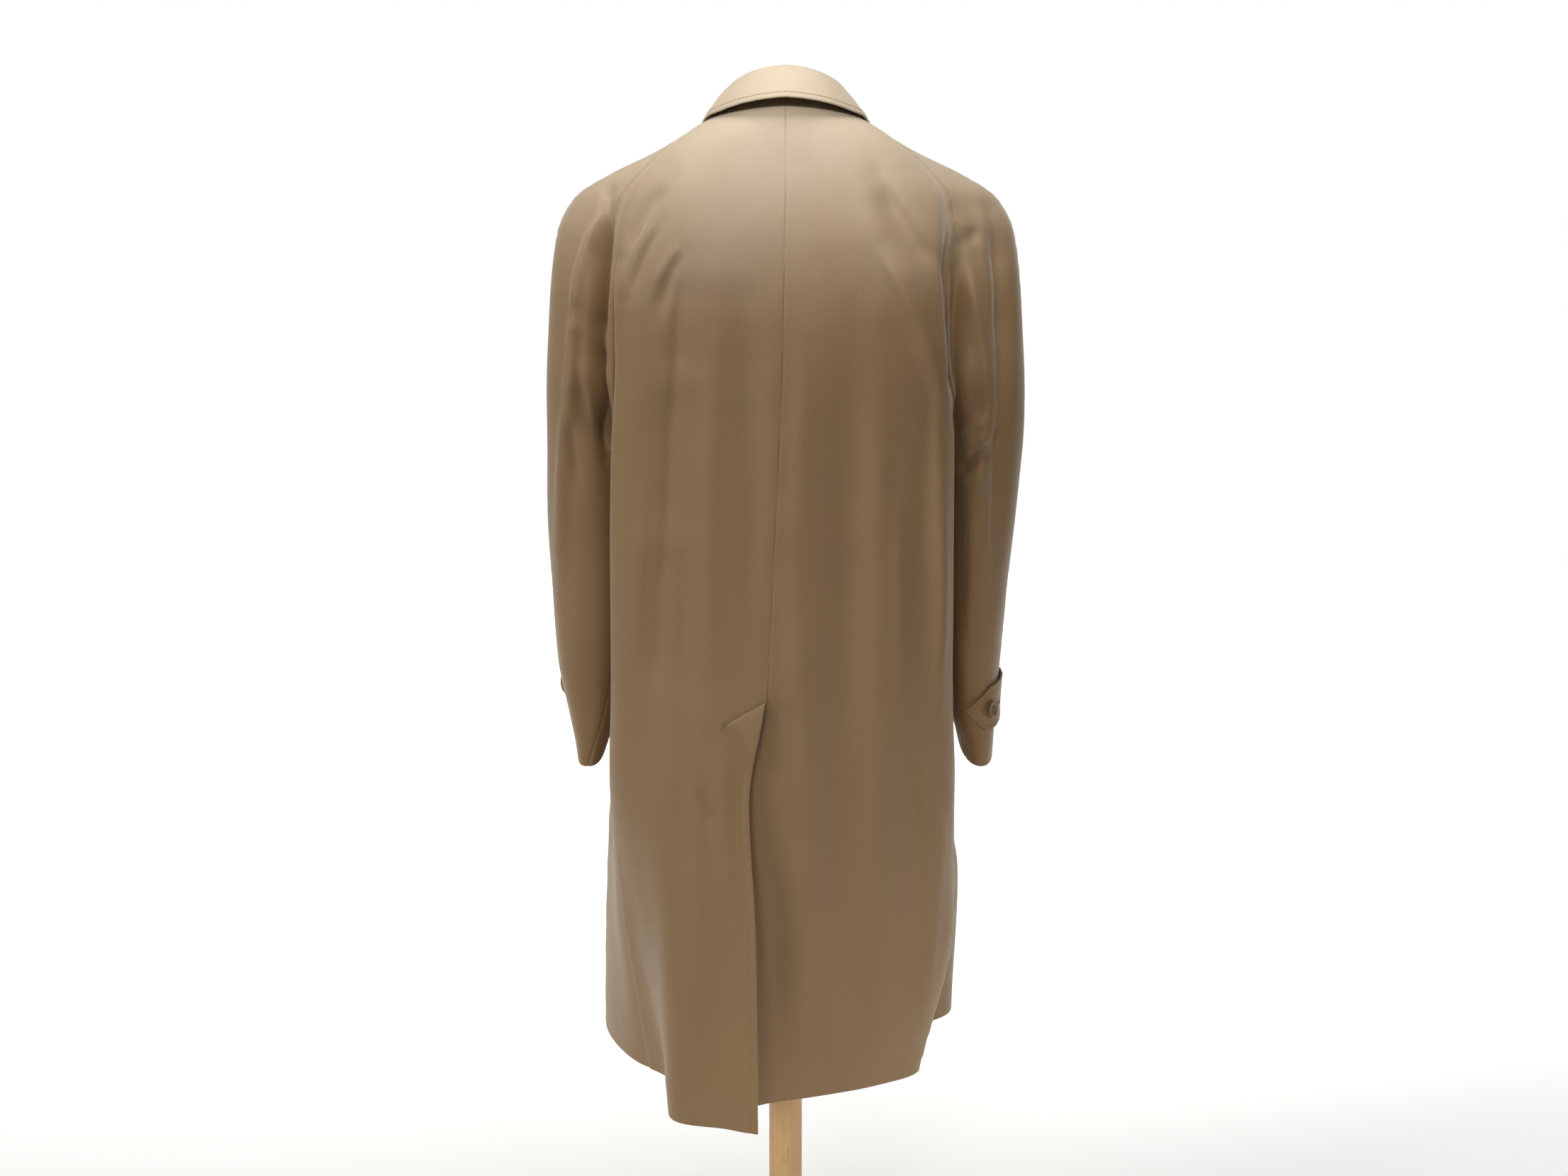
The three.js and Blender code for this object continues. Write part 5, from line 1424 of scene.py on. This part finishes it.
# ---------------------------------------------------------------- room, light and camera
def room():
    floor = plain_mesh("studio_floor", [(-5, -6, 0), (5, -6, 0), (5, 4, 0), (-5, 4, 0)], [[0, 1, 2, 3]])
    n = Nodes("floor_white")
    white = n.mix(n.noise(2.0), srgb(250, 249, 247), srgb(252, 252, 251))
    floor.materials.append(n.surface(white, {"Roughness": 0.9}))
    add_piece("studio_floor", floor, False)
    world = bpy.data.worlds.new("studio")
    world.use_nodes = True
    scene.world = world
    tree = world.node_tree
    seen, lit = tree.nodes["Background"], tree.nodes.new("ShaderNodeBackground")
    path, mixed = tree.nodes.new("ShaderNodeLightPath"), tree.nodes.new("ShaderNodeMixShader")
    seen.inputs[0].default_value = (1, 1, 1, 1)
    seen.inputs[1].default_value = 1.0
    lit.inputs[0].default_value = srgb(246, 248, 255)
    lit.inputs[1].default_value = 0.1
    tree.links.new(path.outputs["Is Camera Ray"], mixed.inputs[0])
    tree.links.new(lit.outputs[0], mixed.inputs[1])
    tree.links.new(seen.outputs[0], mixed.inputs[2])
    tree.links.new(mixed.outputs[0], tree.nodes["World Output"].inputs[0])


def lamp(name, data, place, target):
    made = bpy.data.objects.new(name, data)
    made.location = place
    made.rotation_euler = (Vector(target) - Vector(place)).to_track_quat("-Z", "Y").to_euler()
    scene.collection.objects.link(made)
    return made


def soft_light(name, place, target, width, height, power, colour, spread=180):
    data = bpy.data.lights.new(name, "AREA")
    data.shape, data.size, data.size_y, data.energy = "RECTANGLE", width, height, power
    data.color, data.spread = colour, math.radians(spread)
    lamp(name, data, place, target).visible_camera = False


def far_light(name, toward, angle, strength, colour):
    data = bpy.data.lights.new(name, "SUN")
    data.energy, data.angle, data.color = strength, math.radians(angle), colour
    sun = bpy.data.objects.new(name, data)
    sun.rotation_euler = Vector(toward).to_track_quat("Z", "Y").to_euler()
    scene.collection.objects.link(sun)


def spot_light(name, place, target, cone, edge, radius, power, colour):
    data = bpy.data.lights.new(name, "SPOT")
    data.energy, data.spot_size, data.spot_blend = power, math.radians(cone), edge
    data.shadow_soft_size, data.color = radius, colour
    lamp(name, data, place, target)


def lights():
    """A soft spot on the shoulders, a wide wash on the back, one from the left and one low on the right."""
    warm, even = (1.0, 0.985, 0.955), (1.0, 0.995, 0.985)
    spot_light("shoulder_spot", (-0.12, 1.9, 2.3), (-0.05, 0.0, 1.95), 40, 0.54, 0.1, 100, even)
    soft_light("top_light", (0.0, 0.3, 2.4), (0.0, 0.08, 1.3), 0.9, 0.5, 11, even)
    far_light("back_wash", (0.3, 1.0, 0.42), 20, 0.72, warm)
    far_light("left_wash", (1.0, 0.5, 0.5), 20, 0.92, warm)
    spot_light("low_right", (-2.6, 1.5, 0.6), (-0.05, 0.15, 0.42), 21, 0.7, 0.4, 120, warm)
    soft_light("floor_wash", (0.0, -3.9, 3.4), (0.0, -3.9, 0.0), 9.0, 5.6, 300, even, 100)


def camera():
    scene.view_settings.view_transform = "Standard"
    data = bpy.data.cameras.new("camera")
    data.lens, data.sensor_width = 35.64, 36.0
    data.clip_start = 0.05
    eye = bpy.data.objects.new("camera", data)
    eye.location = (0.0019, 1.75, 1.28)
    eye.rotation_euler = (math.radians(80), 0, math.radians(180))
    scene.collection.objects.link(eye)
    scene.camera = eye


# ---------------------------------------------------------------- the whole coat
camera()
for side in ("left", "right"):
    cloth, normal = back_panel(side)
    if side == "left":
        vent_bar(cloth, normal)
    cloth, normal = front_panel(side)
    if side == "left":
        for number in range(1, 6):
            front_buttonhole(f"front_button_{number}", cloth, normal)
    for face in ("back", "front"):
        cloth, normal, heights = sleeve_panel(side, face)
        sleeve_stitches(side, face, cloth, normal, heights)
    cuff_tab(side)
collar()
for node in ("cuff_button_left", "cuff_button_right", *(f"front_button_{k}" for k in range(1, 6))):
    sewn_button(node)
form()
stand()
bpy.data.objects.remove(STITCH_SHAPE)
room()
lights()
